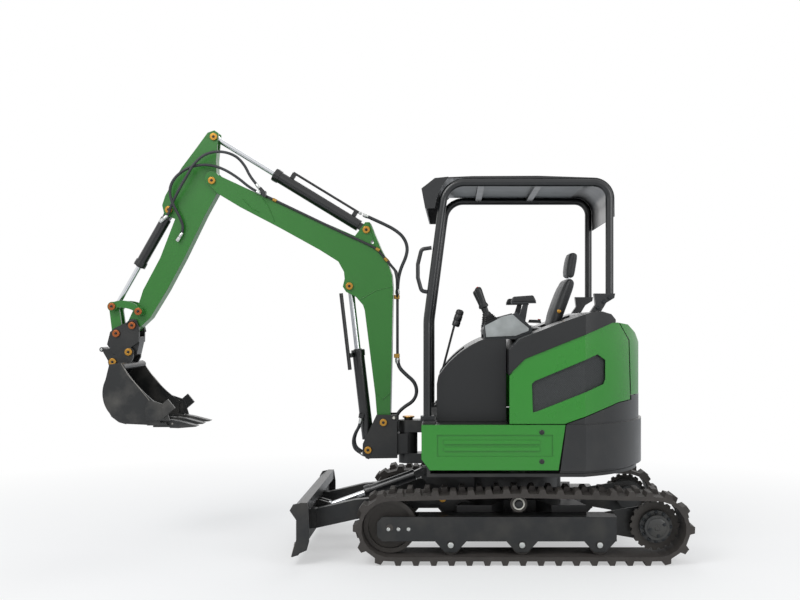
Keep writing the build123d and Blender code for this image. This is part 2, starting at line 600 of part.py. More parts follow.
# Counterweight: a curved cast tail with a stepped top
with BuildPart() as counterweight:
    house_block(0, PANEL_LOW_Z - 7, 813)
    house_block(16, 813, 965)
    house_block(PANEL_SHEET + 4, FLOOR_Z + FLOOR_THICKNESS + SEAT_GAP, PANEL_LOW_Z)
    seam = [(x, z - SEAM) for x, z in COVER[9:13]]
    front = [(HOUSE_FRONT_X - 10, 500), (HOUSE_FRONT_X - 10, 1000), (SLEW_X + 680, 1000)]
    front += [(SLEW_X + 680, seam[0][1])] + seam
    front += [(PANEL_TOP_REAR_X + SEAM, DECK_Z + 2), (PANEL_LOW_REAR_X + SEAM, 500)]
    slab(front, -HOUSE_HALF, HOUSE_HALF, mode=Mode.SUBTRACT)
    house_block(140, FLOOR_Z, 965, mode=Mode.SUBTRACT)
finish(counterweight, "counterweight")

# Deck plate and floor mat in front of the seat base
DECK_REAR_X = SLEW_X - 84.0
with BuildPart() as deck:
    house_block(PANEL_SHEET + SEAT_GAP, DECK_Z - 24.5, DECK_Z)
    rear = [(DECK_REAR_X, DECK_Z - 30), (DECK_REAR_X, DECK_Z + 5), (SLEW_X + 800, DECK_Z + 5)]
    rear += [(SLEW_X + 800, DECK_Z - 30)]
    slab(rear, -HOUSE_HALF, HOUSE_HALF, mode=Mode.SUBTRACT)
    front = [(HOUSE_FRONT_X, DECK_Z - 24), (HOUSE_FRONT_X, DECK_Z), (HOUSE_FRONT_X + 31, DECK_Z)]
    front += [(HOUSE_FRONT_X + 31, DECK_Z - 24)]
    slab(front, -HOUSE_HALF + PANEL_SHEET + SEAT_GAP, HOUSE_HALF - PANEL_SHEET - SEAT_GAP)
finish(deck, "deck_plate")

with BuildPart() as floor_mat:
    mat = [(HOUSE_FRONT_X + 8, DECK_Z), (HOUSE_FRONT_X + 8, DECK_Z + 14), (SLEW_X - 515, DECK_Z + 14)]
    mat += [(SLEW_X - 515, DECK_Z)]
    slab(mat, -HOUSE_HALF + 20, HOUSE_HALF - 20)
finish(floor_mat, "floor_mat")

# Seat base with a curved front
BASE_HALF = 470.0
with BuildPart() as seat_base:
    with BuildSketch(side_plane(BASE_HALF)) as outline:
        with BuildLine():
            Polyline((SLEW_X - 510, DECK_Z), (SLEW_X - 510, 1040), (SLEW_X - 502, 1085))
            ThreePointArc((SLEW_X - 502, 1085), (SLEW_X - 400, 1205), (SLEW_X - 230, 1310))
            Polyline((SLEW_X - 230, 1310), (SLEW_X - 90, 1310), (SLEW_X - 90, DECK_Z), (SLEW_X - 510, DECK_Z))
        make_face()
    extrude(outline.sketch, amount=2 * BASE_HALF)
    step = [(SLEW_X - 600, DECK_Z), (SLEW_X - 600, 1400), (SLEW_X - 340, 1400), (SLEW_X - 340, 1150)]
    step += [(SLEW_X - 300, DECK_Z + 14)]
    slab([(x, max(z, DECK_Z + 14)) for x, z in step], -230, 230, mode=Mode.SUBTRACT)
finish(seat_base, "seat_base")

# Engine covers that follow the plan of the house, each with a grille window
WINDOW = [(SLEW_X + 50, 1053), (SLEW_X + 68, 1070), (SLEW_X + 440, 1225), (SLEW_X + 490, 1190)]
WINDOW += [(SLEW_X + 490, 1075), (SLEW_X + 478, 1048), (SLEW_X + 82, 892), (SLEW_X + 56, 886)]
COVER_SHEET = 34.0
for side, sign in (("left", -1), ("right", 1)):
    with BuildPart() as engine_cover:
        house_block(8, DECK_Z, 1420)
        house_block(8 + COVER_SHEET, DECK_Z, 1420, mode=Mode.SUBTRACT)
        low, high = sorted((sign * 150, sign * HOUSE_HALF))
        slab(COVER, low, high, mode=Mode.INTERSECT)
        slab(WINDOW, low, high, mode=Mode.SUBTRACT)
    finish(engine_cover, f"engine_cover_{side}")

with BuildPart() as grilles:
    house_block(20, 850, 1250)
    house_block(26, 850, 1250, mode=Mode.SUBTRACT)
    slab(WINDOW, -HOUSE_HALF, HOUSE_HALF, mode=Mode.INTERSECT)
finish(grilles, "grilles")

SEAT_HALF = 240.0

HOOD_HINGE = (SLEW_X + 590.0, 1412.0)
HINGE_Y = 160.0
KNUCKLE_WIDTH = 40.0
KNUCKLE_RADIUS = 7.0
HINGE_PIN_RADIUS = 4.0

# Black moulding that caps the engine bay from side to side
CAP_TOP = [(SLEW_X - 84, 1252), (SLEW_X - 20, 1316), (SLEW_X + 97, 1363), (SLEW_X + 214, 1409)]
CAP_TOP += [(SLEW_X + 331, 1450), (SLEW_X + 400, 1472), (SLEW_X + 470, 1478), (SLEW_X + 530, 1462)]
CAP_TOP += [(SLEW_X + 560, 1430)]
with BuildPart() as engine_cap:
    house_block(0, 1080, 1490)
    low_edge = [(SLEW_X + 560, COVER[6][1] + SEAT_GAP)]
    low_edge += [(x - SEAT_GAP, z + SEAT_GAP) for x, z in COVER[6:1:-1]] + [(SLEW_X - 84, 1104)]
    slab(CAP_TOP + low_edge, -HOUSE_HALF, HOUSE_HALF, mode=Mode.INTERSECT)
    well = [(SLEW_X - 90, 1310), (SLEW_X - 90, 1500), (SLEW_X + 380, 1500), (SLEW_X + 300, 1310)]
    slab(well, -SEAT_HALF - 15, SEAT_HALF + 15, mode=Mode.SUBTRACT)
    both_sides(hull, (SLEW_X + 545, 1424), HOOD_HINGE, 9, KNUCKLE_RADIUS,
               y_low=HINGE_Y, y_high=HINGE_Y + KNUCKLE_WIDTH - SEAT_GAP)
    both_sides(drum, HOOD_HINGE, HINGE_PIN_RADIUS, y_low=HINGE_Y, y_high=HINGE_Y + 2 * KNUCKLE_WIDTH)
finish(engine_cap, "engine_cap")

# Engine, one plain block
with BuildPart() as engine:
    with BuildSketch(Plane.XY.offset(FLOOR_Z + FLOOR_THICKNESS)):
        with Locations((SLEW_X + 300, 0)):
            Rectangle(420, 620)
    extrude(amount=560)
finish(engine, "engine_block")

# Rear hood, hinged at its top
HOOD = [(SLEW_X + 589, 1410), (SLEW_X + 650, 1400), (SLEW_X + 710, 1350)]
HOOD += [(SLEW_X + 745, 1290), (SLEW_X + 745, 970), (SLEW_X + 675, 970), (SLEW_X + 662, 1304)]
with BuildPart() as hood_core:
    house_block(40, 960, 1380)
    slab(HOOD, -440, 440, mode=Mode.INTERSECT)
with BuildPart() as hood:
    house_block(8, 960, 1420)
    slab(HOOD, -600, 600, mode=Mode.INTERSECT)
    add(hood_core.part, mode=Mode.SUBTRACT)
    both_sides(drum, HOOD_HINGE, KNUCKLE_RADIUS + MOVE_GAP, y_low=HINGE_Y - PIN_GAP,
               y_high=HINGE_Y + KNUCKLE_WIDTH, mode=Mode.SUBTRACT)
    both_sides(drum, HOOD_HINGE, KNUCKLE_RADIUS,
               y_low=HINGE_Y + KNUCKLE_WIDTH, y_high=HINGE_Y + 2 * KNUCKLE_WIDTH)
    both_sides(drum, HOOD_HINGE, HINGE_PIN_RADIUS + SEAT_GAP,
               y_low=HINGE_Y + KNUCKLE_WIDTH, y_high=HINGE_Y + 2 * KNUCKLE_WIDTH, mode=Mode.SUBTRACT)
finish(hood, "engine_hood")

canopy_frames = {}

# Canopy: a hoop of tube on each side, joined by the roof and cross bars
CANOPY_PATH = [(SLEW_X - 565, 850), (SLEW_X - 565, 1427), (SLEW_X - 481, 2074), (SLEW_X - 455, CANOPY_TOP_Z)]
CANOPY_PATH += [(CANOPY_REAR_X, CANOPY_TOP_Z), (CANOPY_REAR_X, 1570)]
FRONT_BEND, REAR_BEND = 130.0, 95.0
for side, sign in (("left", -1), ("right", 1)):
    with BuildPart() as canopy_frame:
        plane = side_plane(sign * CANOPY_HALF)
        radius = CANOPY_TUBE / 2
        with BuildLine(plane) as hoop:
            FilletPolyline(*CANOPY_PATH, radius=[300, 300, FRONT_BEND, REAR_BEND])
        with BuildSketch(Plane(origin=hoop.wire() @ 0, z_dir=hoop.wire() % 0)):
            Circle(radius)
        sweep(path=hoop.wire())
        foot_low, foot_high = DECK_Z + 14, 850
        with BuildSketch(Plane.XY.offset(foot_low)):
            with Locations((CANOPY_PATH[0][0], sign * CANOPY_HALF)):
                Rectangle(80, 80)
        extrude(amount=foot_high - foot_low + 6)
        foot = [(SLEW_X + 428, 1585), (SLEW_X + 553, 1585), (SLEW_X + 548, 1558), (SLEW_X + 500, 1529)]
        foot += [(SLEW_X + 470, 1478.4), (SLEW_X + 404, 1472.8), (SLEW_X + 436, 1520)]
        slab(foot, sign * CANOPY_HALF - 30, sign * CANOPY_HALF + 30)
    finish(canopy_frame, f"canopy_frame_{side}")
    canopy_frames[side] = canopy_frame.part

# Roof sheet bent over the hoops, with a visor at the front and cross bars below
ROOF_HALF = CANOPY_HALF + 6
ROOF_SHEET = 5.0
VISOR_HALF = CANOPY_HALF + CANOPY_TUBE / 2 + 4
ROOF_LOW = CANOPY_TOP_Z + CANOPY_TUBE / 2 + SEAT_GAP
with BuildPart() as canopy_roof:
    bend_x, bend_z = CANOPY_REAR_X - REAR_BEND, CANOPY_TOP_Z - REAR_BEND
    with BuildSketch(side_plane(ROOF_HALF)) as outline:
        with BuildLine():
            inner, outer = REAR_BEND + CANOPY_TUBE / 2 + SEAT_GAP, REAR_BEND + CANOPY_TUBE / 2 + ROOF_SHEET
            Polyline((SLEW_X - 440, ROOF_LOW), (bend_x, ROOF_LOW))
            ThreePointArc((bend_x, ROOF_LOW), (bend_x + inner * cos(pi / 4), bend_z + inner * sin(pi / 4)),
                          (bend_x + inner, bend_z))
            Polyline((bend_x + inner, bend_z), (bend_x + inner + 1, ROOF_REAR_Z), (bend_x + outer + 1, ROOF_REAR_Z),
                     (bend_x + outer, bend_z))
            ThreePointArc((bend_x + outer, bend_z), (bend_x + outer * cos(pi / 4), bend_z + outer * sin(pi / 4)),
                          (bend_x, ROOF_LOW + ROOF_SHEET))
            Polyline((bend_x, ROOF_LOW + ROOF_SHEET), (SLEW_X + 100, ROOF_LOW + 16), (SLEW_X - 300, ROOF_LOW + 14),
                     (SLEW_X - 440, ROOF_LOW + 8), (SLEW_X - 440, ROOF_LOW))
        make_face()
    extrude(outline.sketch, amount=2 * ROOF_HALF)
    visor = [(SLEW_X - 440, ROOF_LOW), (SLEW_X - 440, ROOF_LOW + 8), (SLEW_X - 520, ROOF_LOW)]
    visor += [(SLEW_X - 600, ROOF_LOW - 62), (SLEW_X - 578, ROOF_LOW - 180), (SLEW_X - 572, ROOF_LOW - 180)]
    visor += [(SLEW_X - 592, ROOF_LOW - 60), (SLEW_X - 516, ROOF_LOW - 6)]
    slab(visor, -VISOR_HALF, VISOR_HALF)
    cheek = [(SLEW_X - 516, ROOF_LOW - 4), (SLEW_X - 598, ROOF_LOW - 60), (SLEW_X - 576, ROOF_LOW - 180)]
    cheek += [(SLEW_X - 520, ROOF_LOW - 180), (SLEW_X - 505, ROOF_LOW - 100), (SLEW_X - 460, ROOF_LOW - 20)]
    cheek += [(SLEW_X - 440, ROOF_LOW)]
    both_sides(slab, cheek, y_low=CANOPY_HALF + CANOPY_TUBE / 2 + SEAT_GAP, y_high=VISOR_HALF)
    for x in ROOF_BAR_XS:
        bar = [(x, ROOF_LOW + 1), (x + 40, ROOF_LOW + 1), (x + 40, ROOF_LOW - 28), (x, ROOF_LOW - 28)]
        slab(bar, -CANOPY_HALF + CANOPY_TUBE / 2 + SEAT_GAP, CANOPY_HALF - CANOPY_TUBE / 2 - SEAT_GAP)
finish(canopy_roof, "canopy_roof")

# Seat with its backrest and headrest
with BuildPart() as seat_cushion:
    cushion = [(SLEW_X - 225, 1310.3), (SLEW_X - 240, 1370), (SLEW_X - 205, 1402), (SLEW_X + 190, 1388)]
    cushion += [(SLEW_X + 190, 1310.3)]
    slab(cushion, -SEAT_HALF, SEAT_HALF)
finish(seat_cushion, "seat_cushion")

with BuildPart() as seat_back:
    back = [(SLEW_X + 190.3, 1340), (SLEW_X + 192, 1400), (SLEW_X + 300, 1680), (SLEW_X + 318, 1692)]
    back += [(SLEW_X + 368, 1667), (SLEW_X + 300, 1395), (SLEW_X + 262, 1340)]
    slab(back, -SEAT_HALF + 10, SEAT_HALF - 10)
    post = [(SLEW_X + 320, 1660), (SLEW_X + 330, 1720), (SLEW_X + 345, 1720), (SLEW_X + 340, 1650)]
    both_sides(slab, post, y_low=60, y_high=72)
finish(seat_back, "seat_back")

with BuildPart() as headrest:
    rest = [(SLEW_X + 305, 1705), (SLEW_X + 318, 1840), (SLEW_X + 350, 1862), (SLEW_X + 381, 1850)]
    rest += [(SLEW_X + 375, 1720), (SLEW_X + 350, 1690), (SLEW_X + 318, 1697)]
    slab(rest, -130, 130)
    for sign in (-1, 1):
        slab(post, min(sign * 60, sign * 72), max(sign * 60, sign * 72), mode=Mode.SUBTRACT)
finish(headrest, "headrest")

# Control consoles, each side of the seat, with their armrests
CONSOLE_LOW_Y, CONSOLE_HIGH_Y = 275.0, 425.0
CONSOLE_Y = (CONSOLE_LOW_Y + CONSOLE_HIGH_Y) / 2
CONSOLE = [(SLEW_X - 222, 1310.3), (SLEW_X - 222, 1395), (SLEW_X - 122, 1445), (SLEW_X - 20, 1472)]
CONSOLE += [(SLEW_X + 18, 1430), (SLEW_X + 70, 1380), (SLEW_X + 70, 1354), (SLEW_X - 20, 1318)]
CONSOLE += [(SLEW_X - 30, 1310.3)]
with BuildPart() as consoles:
    both_sides(slab, CONSOLE, y_low=CONSOLE_LOW_Y, y_high=CONSOLE_HIGH_Y)
    stem = [(SLEW_X - 10, 1440), (SLEW_X + 20, 1530), (SLEW_X + 50, 1530), (SLEW_X + 30, 1410)]
    both_sides(slab, stem, y_low=CONSOLE_Y - 20, y_high=CONSOLE_Y + 20)
    rest = [(SLEW_X - 56, 1528), (SLEW_X - 40, 1566), (SLEW_X + 80, 1575), (SLEW_X + 98, 1530)]
    both_sides(slab, rest, y_low=CONSOLE_Y - 35, y_high=CONSOLE_Y + 35)
finish(consoles, "consoles")

BOOT = (SLEW_X - 178, 1418.0)
GRIP = (SLEW_X - 262, 1624.0)
with BuildPart() as joysticks:
    for y in (-CONSOLE_Y, CONSOLE_Y):
        for along, radius, length, taper in ((0, 40, 60, 18), (0, 9, 150, 0), (100, 21, 125, 0)):
            x, z = towards(BOOT, GRIP, along)
            with BuildSketch(Plane(origin=(x, y, z), z_dir=(GRIP[0] - BOOT[0], 0, GRIP[1] - BOOT[1]))):
                Circle(radius)
            extrude(amount=length, taper=taper)
    both_sides(slab, CONSOLE, y_low=CONSOLE_LOW_Y, y_high=CONSOLE_HIGH_Y, mode=Mode.SUBTRACT)
finish(joysticks, "joysticks")

# Travel levers and pedals on the deck
with BuildPart() as travel_levers:
    for y in (-70, 70):
        slab([(SLEW_X - 490, DECK_Z + 14), (SLEW_X - 505, 1050), (SLEW_X - 493, 1050), (SLEW_X - 470, DECK_Z + 14)],
             y - 8, y + 8)
        slab([(SLEW_X - 505, 1040), (SLEW_X - 410, 1400), (SLEW_X - 396, 1396), (SLEW_X - 490, 1040)],
             y - 8, y + 8)
        slab([(SLEW_X - 412, 1390), (SLEW_X - 385, 1480), (SLEW_X - 350, 1480), (SLEW_X - 385, 1385)],
             y - 20, y + 20)
    slab([(SLEW_X - 490, DECK_Z + 14), (SLEW_X - 490, 900), (SLEW_X - 440, 900), (SLEW_X - 440, DECK_Z + 14)],
         -100, 100)
finish(travel_levers, "travel_levers")

with BuildPart() as pedals:
    for y in (-150, 150):
        slab([(SLEW_X - 530, 880), (SLEW_X - 530, 892), (SLEW_X - 440, 940), (SLEW_X - 430, 930)], y - 40, y + 40)
        slab([(SLEW_X - 490, DECK_Z + 14), (SLEW_X - 490, 905), (SLEW_X - 470, 915), (SLEW_X - 470, DECK_Z + 14)],
             y - 15, y + 15)
finish(pedals, "pedals")

# Grab handle beside the left front post
HANDLE = [(SLEW_X - 540, 1859), (SLEW_X - 600, 1850), (SLEW_X - 622, 1760), (SLEW_X - 622, 1680)]
HANDLE += [(SLEW_X - 600, 1600), (SLEW_X - 565, 1595)]
with BuildPart() as grab_handle:
    with BuildLine(side_plane(-CANOPY_HALF)) as loop:
        FilletPolyline(*HANDLE, radius=25)
    with BuildSketch(Plane(origin=loop.wire() @ 0, z_dir=loop.wire() % 0)):
        Circle(12)
    sweep(path=loop.wire())
    add(canopy_frames["left"], mode=Mode.SUBTRACT)
finish(grab_handle, "grab_handle")

# Swing bracket between the nose's lugs, with cheeks for the boom foot and the boom cylinder
CHEEK_Y = BOOM_HALF + PIN_GAP
with BuildPart() as swing_bracket:
    barrel_low, barrel_high = NOSE_LOW[1] + SEAT_GAP, NOSE_HIGH[0] - SEAT_GAP
    with BuildSketch(Plane.XY.offset(barrel_low)):
        with Locations((SWING_X, 0)):
            Circle(58)
    extrude(amount=barrel_high - barrel_low)
    fx, fz = BOOM_FOOT
    cx, cz = BOOM_CYL_BASE
    neck = [(SWING_X, barrel_low), (cx + 70, barrel_low), (cx + 70, 660), (fx - 5, 700), (SWING_X, 700)]
    slab(neck, -CHEEK_Y, CHEEK_Y)
    cheek_rear = SWING_X - NOSE_RADIUS - MOVE_GAP
    cheek = [(cheek_rear, 548), (cheek_rear, 823), (fx - 45, 823), (cx - 34, 640), (cx - 36, 575)]
    cheek += [(cx - 10, 545)]
    both_sides(slab, cheek, y_low=CHEEK_Y, y_high=CHEEK_Y + CHEEK_PLATE)
    with BuildSketch(Plane.XY.offset(NOSE_LOW[0])):
        with Locations((SWING_X, 0)):
            Circle(PIN_RADIUS + 12)
    extrude(amount=NOSE_HIGH[1] + 14 - NOSE_LOW[0])
    for pin in (BOOM_FOOT, BOOM_CYL_BASE):
        drum(pin, PIN_RADIUS, -CHEEK_Y, CHEEK_Y)
        both_sides(drum, pin, HEAD_RADIUS, y_low=CHEEK_Y + CHEEK_PLATE,
                   y_high=CHEEK_Y + CHEEK_PLATE + HEAD_THICKNESS)
    both_sides(drum, BOOM_CYL_BASE, 24, y_low=EYE_GAP, y_high=CHEEK_Y)
finish(swing_bracket, "swing_bracket")

# Boom: a bent box beam with a fork at its tip and brackets for two cylinders
bx, bz = BOOM_FOOT
tx, tz = BOOM_TIP
with BuildPart() as boom:
    with BuildSketch(side_plane(BOOM_HALF)) as outline:
        with BuildLine():
            Polyline((bx + 40, bz), (bx + 59, 1619), (bx + 52, 1715), (bx + 14, 1823), (bx - 18, 1881),
                     (bx - 90, 2052), (bx - 118, 2052), (bx - 184, 1964), (bx - 535, 2117), (bx - 855, 2258),
                     (tx + 38, tz + 36))
            ThreePointArc((tx + 38, tz + 36), (tx - 45, tz + 25), (tx - 32, tz - 15))
            Polyline((tx - 32, tz - 15), (tx + 31, tz - 79), (bx - 919, 2149), (bx - 663, 2015),
                     (bx - 408, 1874), (bx - 290, 1800), (bx - 254, 1734), (bx - 250, 1689), (bx - 262, 1640),
                     (bx - 240, 1606), (bx - 177, 1574), (bx - 133, 1523), (bx - 122, 1491), (bx - 54, 948),
                     (bx - 40, bz))
            ThreePointArc((bx - 40, bz), (bx, bz - 40), (bx + 40, bz))
        make_face()
    extrude(outline.sketch, amount=2 * BOOM_HALF)
    slot_half = ARM_HALF + PIN_GAP
    drum(BOOM_TIP, 130, -slot_half, slot_half, mode=Mode.SUBTRACT)
    drum(BOOM_FOOT, PIN_RADIUS + SEAT_GAP, -BOOM_HALF, BOOM_HALF, mode=Mode.SUBTRACT)
    for pin, radius in ((ARM_CYL_BASE, 48), (BOOM_CYL_ROD, 78)):
        drum(pin, radius, -EYE_GAP, EYE_GAP, mode=Mode.SUBTRACT)
    ax, az = ARM_CYL_BASE
    trough = [towards(ARM_CYL_BASE, ARM_CYL_ROD, 0, 60), towards(ARM_CYL_BASE, ARM_CYL_ROD, 0, -50)]
    trough += [towards(ARM_CYL_BASE, ARM_CYL_ROD, 260, -50), towards(ARM_CYL_BASE, ARM_CYL_ROD, 260, 60)]
    slab(trough, -48, 48, mode=Mode.SUBTRACT)
    relief = [towards(BOOM_CYL_ROD, BOOM_CYL_BASE, 0, 66), towards(BOOM_CYL_ROD, BOOM_CYL_BASE, 0, -40)]
    relief += [towards(BOOM_CYL_ROD, BOOM_CYL_BASE, 190, -66), towards(BOOM_CYL_ROD, BOOM_CYL_BASE, 190, 66)]
    slab(relief, -EYE_GAP, EYE_GAP, mode=Mode.SUBTRACT)
    drum(LIFT_EYE, LIFT_EYE_RADIUS, -BOOM_HALF, BOOM_HALF, mode=Mode.SUBTRACT)
    both_sides(drum, ARM_CYL_BASE, HEAD_RADIUS, y_low=BOOM_HALF, y_high=BOOM_HALF + HEAD_THICKNESS)
    both_sides(drum, BOOM_CYL_ROD, HEAD_RADIUS, y_low=BOOM_HALF, y_high=BOOM_HALF + HEAD_THICKNESS)
    both_sides(drum, BOOM_TIP, HEAD_RADIUS, y_low=BOOM_HALF, y_high=BOOM_HALF + HEAD_THICKNESS)
    drum(ARM_CYL_BASE, PIN_RADIUS, -EYE_GAP, EYE_GAP)
    drum(BOOM_TIP, PIN_RADIUS, -slot_half, slot_half)
finish(boom, "boom")

# Arm: a tapered box beam with ears at its top, a bracket for the bucket cylinder and a round end
ex, ez = ARM_END
kx, kz = BUCKET_CYL_BASE
rx, rz = ROCKER_PIN
with BuildPart() as arm:
    with BuildSketch(side_plane(ARM_HALF)) as outline:
        with BuildLine():
            Polyline((tx - 33, tz + 310), (tx - 100, tz + 218), (tx - 196, tz + 90), (tx - 260, tz - 13),
                     (kx - 25, kz + 88), (kx - 44, kz + 30), (kx - 30, kz - 32), (kx + 39, kz - 59),
                     (tx - 337, tz - 493), (tx - 446, tz - 698), (rx - 8, rz + 56), (rx - 40, rz + 20),
                     (ex - 36, ez + 20))
            ThreePointArc((ex - 36, ez + 20), (ex, ez - 41), (ex + 36, ez - 20))
            Polyline((ex + 36, ez - 20), (ex + 108, ez + 48), (tx - 292, tz - 698), (tx - 183, tz - 493),
                     (tx - 49, tz - 218), (tx + 28, tz - 77), (tx + 21, tz + 135), (tx + 36, tz + 308),
                     (tx + 10, tz + 325), (tx - 33, tz + 310))
        make_face()
    extrude(outline.sketch, amount=2 * ARM_HALF)
    drum(BOOM_TIP, PIN_RADIUS + SEAT_GAP, -ARM_HALF, ARM_HALF, mode=Mode.SUBTRACT)
    top_slot = [(tx - 160, tz + 400), (tx - 160, tz + 205), (tx + 80, tz + 205), (tx + 80, tz + 400)]
    slab(top_slot, -EYE_GAP, EYE_GAP, mode=Mode.SUBTRACT)
    drum(BUCKET_CYL_BASE, 50, -EYE_GAP, EYE_GAP, mode=Mode.SUBTRACT)
    side_slot = [(kx - 90, kz - 90), (kx - 90, kz + 60), (kx + 10, kz + 50), (kx + 42, kz - 30), (kx + 25, kz - 90)]
    slab(side_slot, -EYE_GAP, EYE_GAP, mode=Mode.SUBTRACT)
    drum(BUCKET_CYL_BASE, PIN_RADIUS, -EYE_GAP, EYE_GAP)
    drum(ARM_END, PIN_RADIUS + SEAT_GAP, -ARM_HALF, ARM_HALF, mode=Mode.SUBTRACT)
    both_sides(drum, BUCKET_CYL_BASE, HEAD_RADIUS, y_low=ARM_HALF, y_high=ARM_HALF + HEAD_THICKNESS)
    both_sides(drum, ARM_CYL_ROD, HEAD_RADIUS, y_low=ARM_HALF, y_high=ARM_HALF + HEAD_THICKNESS)
    both_sides(drum, ROCKER_PIN, 30, y_low=ARM_HALF, y_high=ROCKER_Y - SEAT_GAP)
    both_sides(drum, ROCKER_PIN, PIN_RADIUS, y_low=ROCKER_Y - SEAT_GAP, y_high=ROCKER_Y + ROCKER_PLATE)
    both_sides(drum, ROCKER_PIN, HEAD_RADIUS, y_low=ROCKER_Y + ROCKER_PLATE + SEAT_GAP,
               y_high=ROCKER_Y + ROCKER_PLATE + HEAD_THICKNESS)
    both_sides(drum, ROCKER_PIN, PIN_RADIUS, y_low=ARM_HALF, y_high=ROCKER_Y + ROCKER_PLATE + 2)
finish(arm, "arm")



def arch(share, across):
    """A point that share of the way along the rocker, above its pins' line."""
    length = hypot(ROCKER_PIN[0] - ROCKER_END[0], ROCKER_PIN[1] - ROCKER_END[1])
    return towards(ROCKER_END, ROCKER_PIN, share * length, across)


# Rocker plates that guide the bucket cylinder's rod
with BuildPart() as rocker:
    for y_low in (ROCKER_Y, -ROCKER_Y - ROCKER_PLATE):
        with BuildSketch(side_plane(y_low + ROCKER_PLATE)) as outline:
            with BuildLine():
                ThreePointArc(arch(0, 28), arch(0.5, 52), arch(1, 28))
                Line(arch(1, 28), arch(1, -12))
                ThreePointArc(arch(1, -12), arch(0.5, 6), arch(0, -12))
                Line(arch(0, -12), arch(0, 28))
            make_face()
            with Locations(ROCKER_PIN, ROCKER_END):
                Circle(30)
        extrude(outline.sketch, amount=ROCKER_PLATE)
        drum(ROCKER_PIN, PIN_RADIUS + SEAT_GAP, y_low, y_low + ROCKER_PLATE, mode=Mode.SUBTRACT)
    both_sides(drum, ROCKER_END, PIN_RADIUS, y_low=EYE_GAP, y_high=ROCKER_Y)
    both_sides(drum, ROCKER_END, HEAD_RADIUS, y_low=ROCKER_Y + ROCKER_PLATE,
               y_high=ROCKER_Y + ROCKER_PLATE + HEAD_THICKNESS)
finish(rocker, "rocker")

# Bucket link between the rocker's pin and the coupler
LINK_Y = EYE_GAP + 3.0
with BuildPart() as link:
    for y_low in (LINK_Y, -LINK_Y - LINK_PLATE):
        hull(ROCKER_END, COUPLER_LINK, 31, 33, y_low, y_low + LINK_PLATE)
        drum(ROCKER_END, PIN_RADIUS + SEAT_GAP, y_low, y_low + LINK_PLATE, mode=Mode.SUBTRACT)
        drum(COUPLER_LINK, PIN_RADIUS, y_low, y_low + LINK_PLATE, mode=Mode.SUBTRACT)
    rod_mid = towards(ROCKER_END, COUPLER_LINK, 125)
    drum(rod_mid, 14, -LINK_Y, LINK_Y)
finish(link, "bucket_link")

# Quick coupler: ears for the arm and the link, and a body between the bucket's ears
lx, lz = COUPLER_LINK
qx, qz = BUCKET_FRONT_PIN
ux, uz = BUCKET_REAR_PIN
EAR_Y = ARM_HALF + 4.0
with BuildPart() as coupler:
    ear = [(ex - 35, ez + 20), (ex - 10, ez + 42), (ex + 25, ez + 38), (ex + 44, ez - 10), (ex + 42, ez - 105)]
    ear += [(qx - 5, qz + 20), (ux, uz + 45), (lx - 60, lz - 70), (lx - 40, lz + 10), (lx - 10, lz + 35)]
    both_sides(slab, ear, y_low=EAR_Y, y_high=EAR_Y + COUPLER_EAR)
    base = [(ex + 44, ez - 72), (ex + 42, ez - 105), (qx + 40, qz - 15), (qx, qz - 36), (ux + 40, uz + 30)]
    drum((ux - 84, uz + 78), 15, -EAR_Y, EAR_Y)
    base += [(ux, uz - 34), (ux - 40, uz), (ux - 80, uz + 70), (lx - 50, lz - 95), (lx + 20, lz - 90)]
    slab(base, -EAR_Y, EAR_Y)
    drum(ARM_END, PIN_RADIUS, -EAR_Y, EAR_Y)
    both_sides(drum, ARM_END, HEAD_RADIUS, y_low=EAR_Y + COUPLER_EAR,
               y_high=EAR_Y + COUPLER_EAR + HEAD_THICKNESS)
    both_sides(drum, COUPLER_LINK, HEAD_RADIUS, y_low=EAR_Y + COUPLER_EAR,
               y_high=EAR_Y + COUPLER_EAR + HEAD_THICKNESS)
finish(coupler, "quick_coupler")

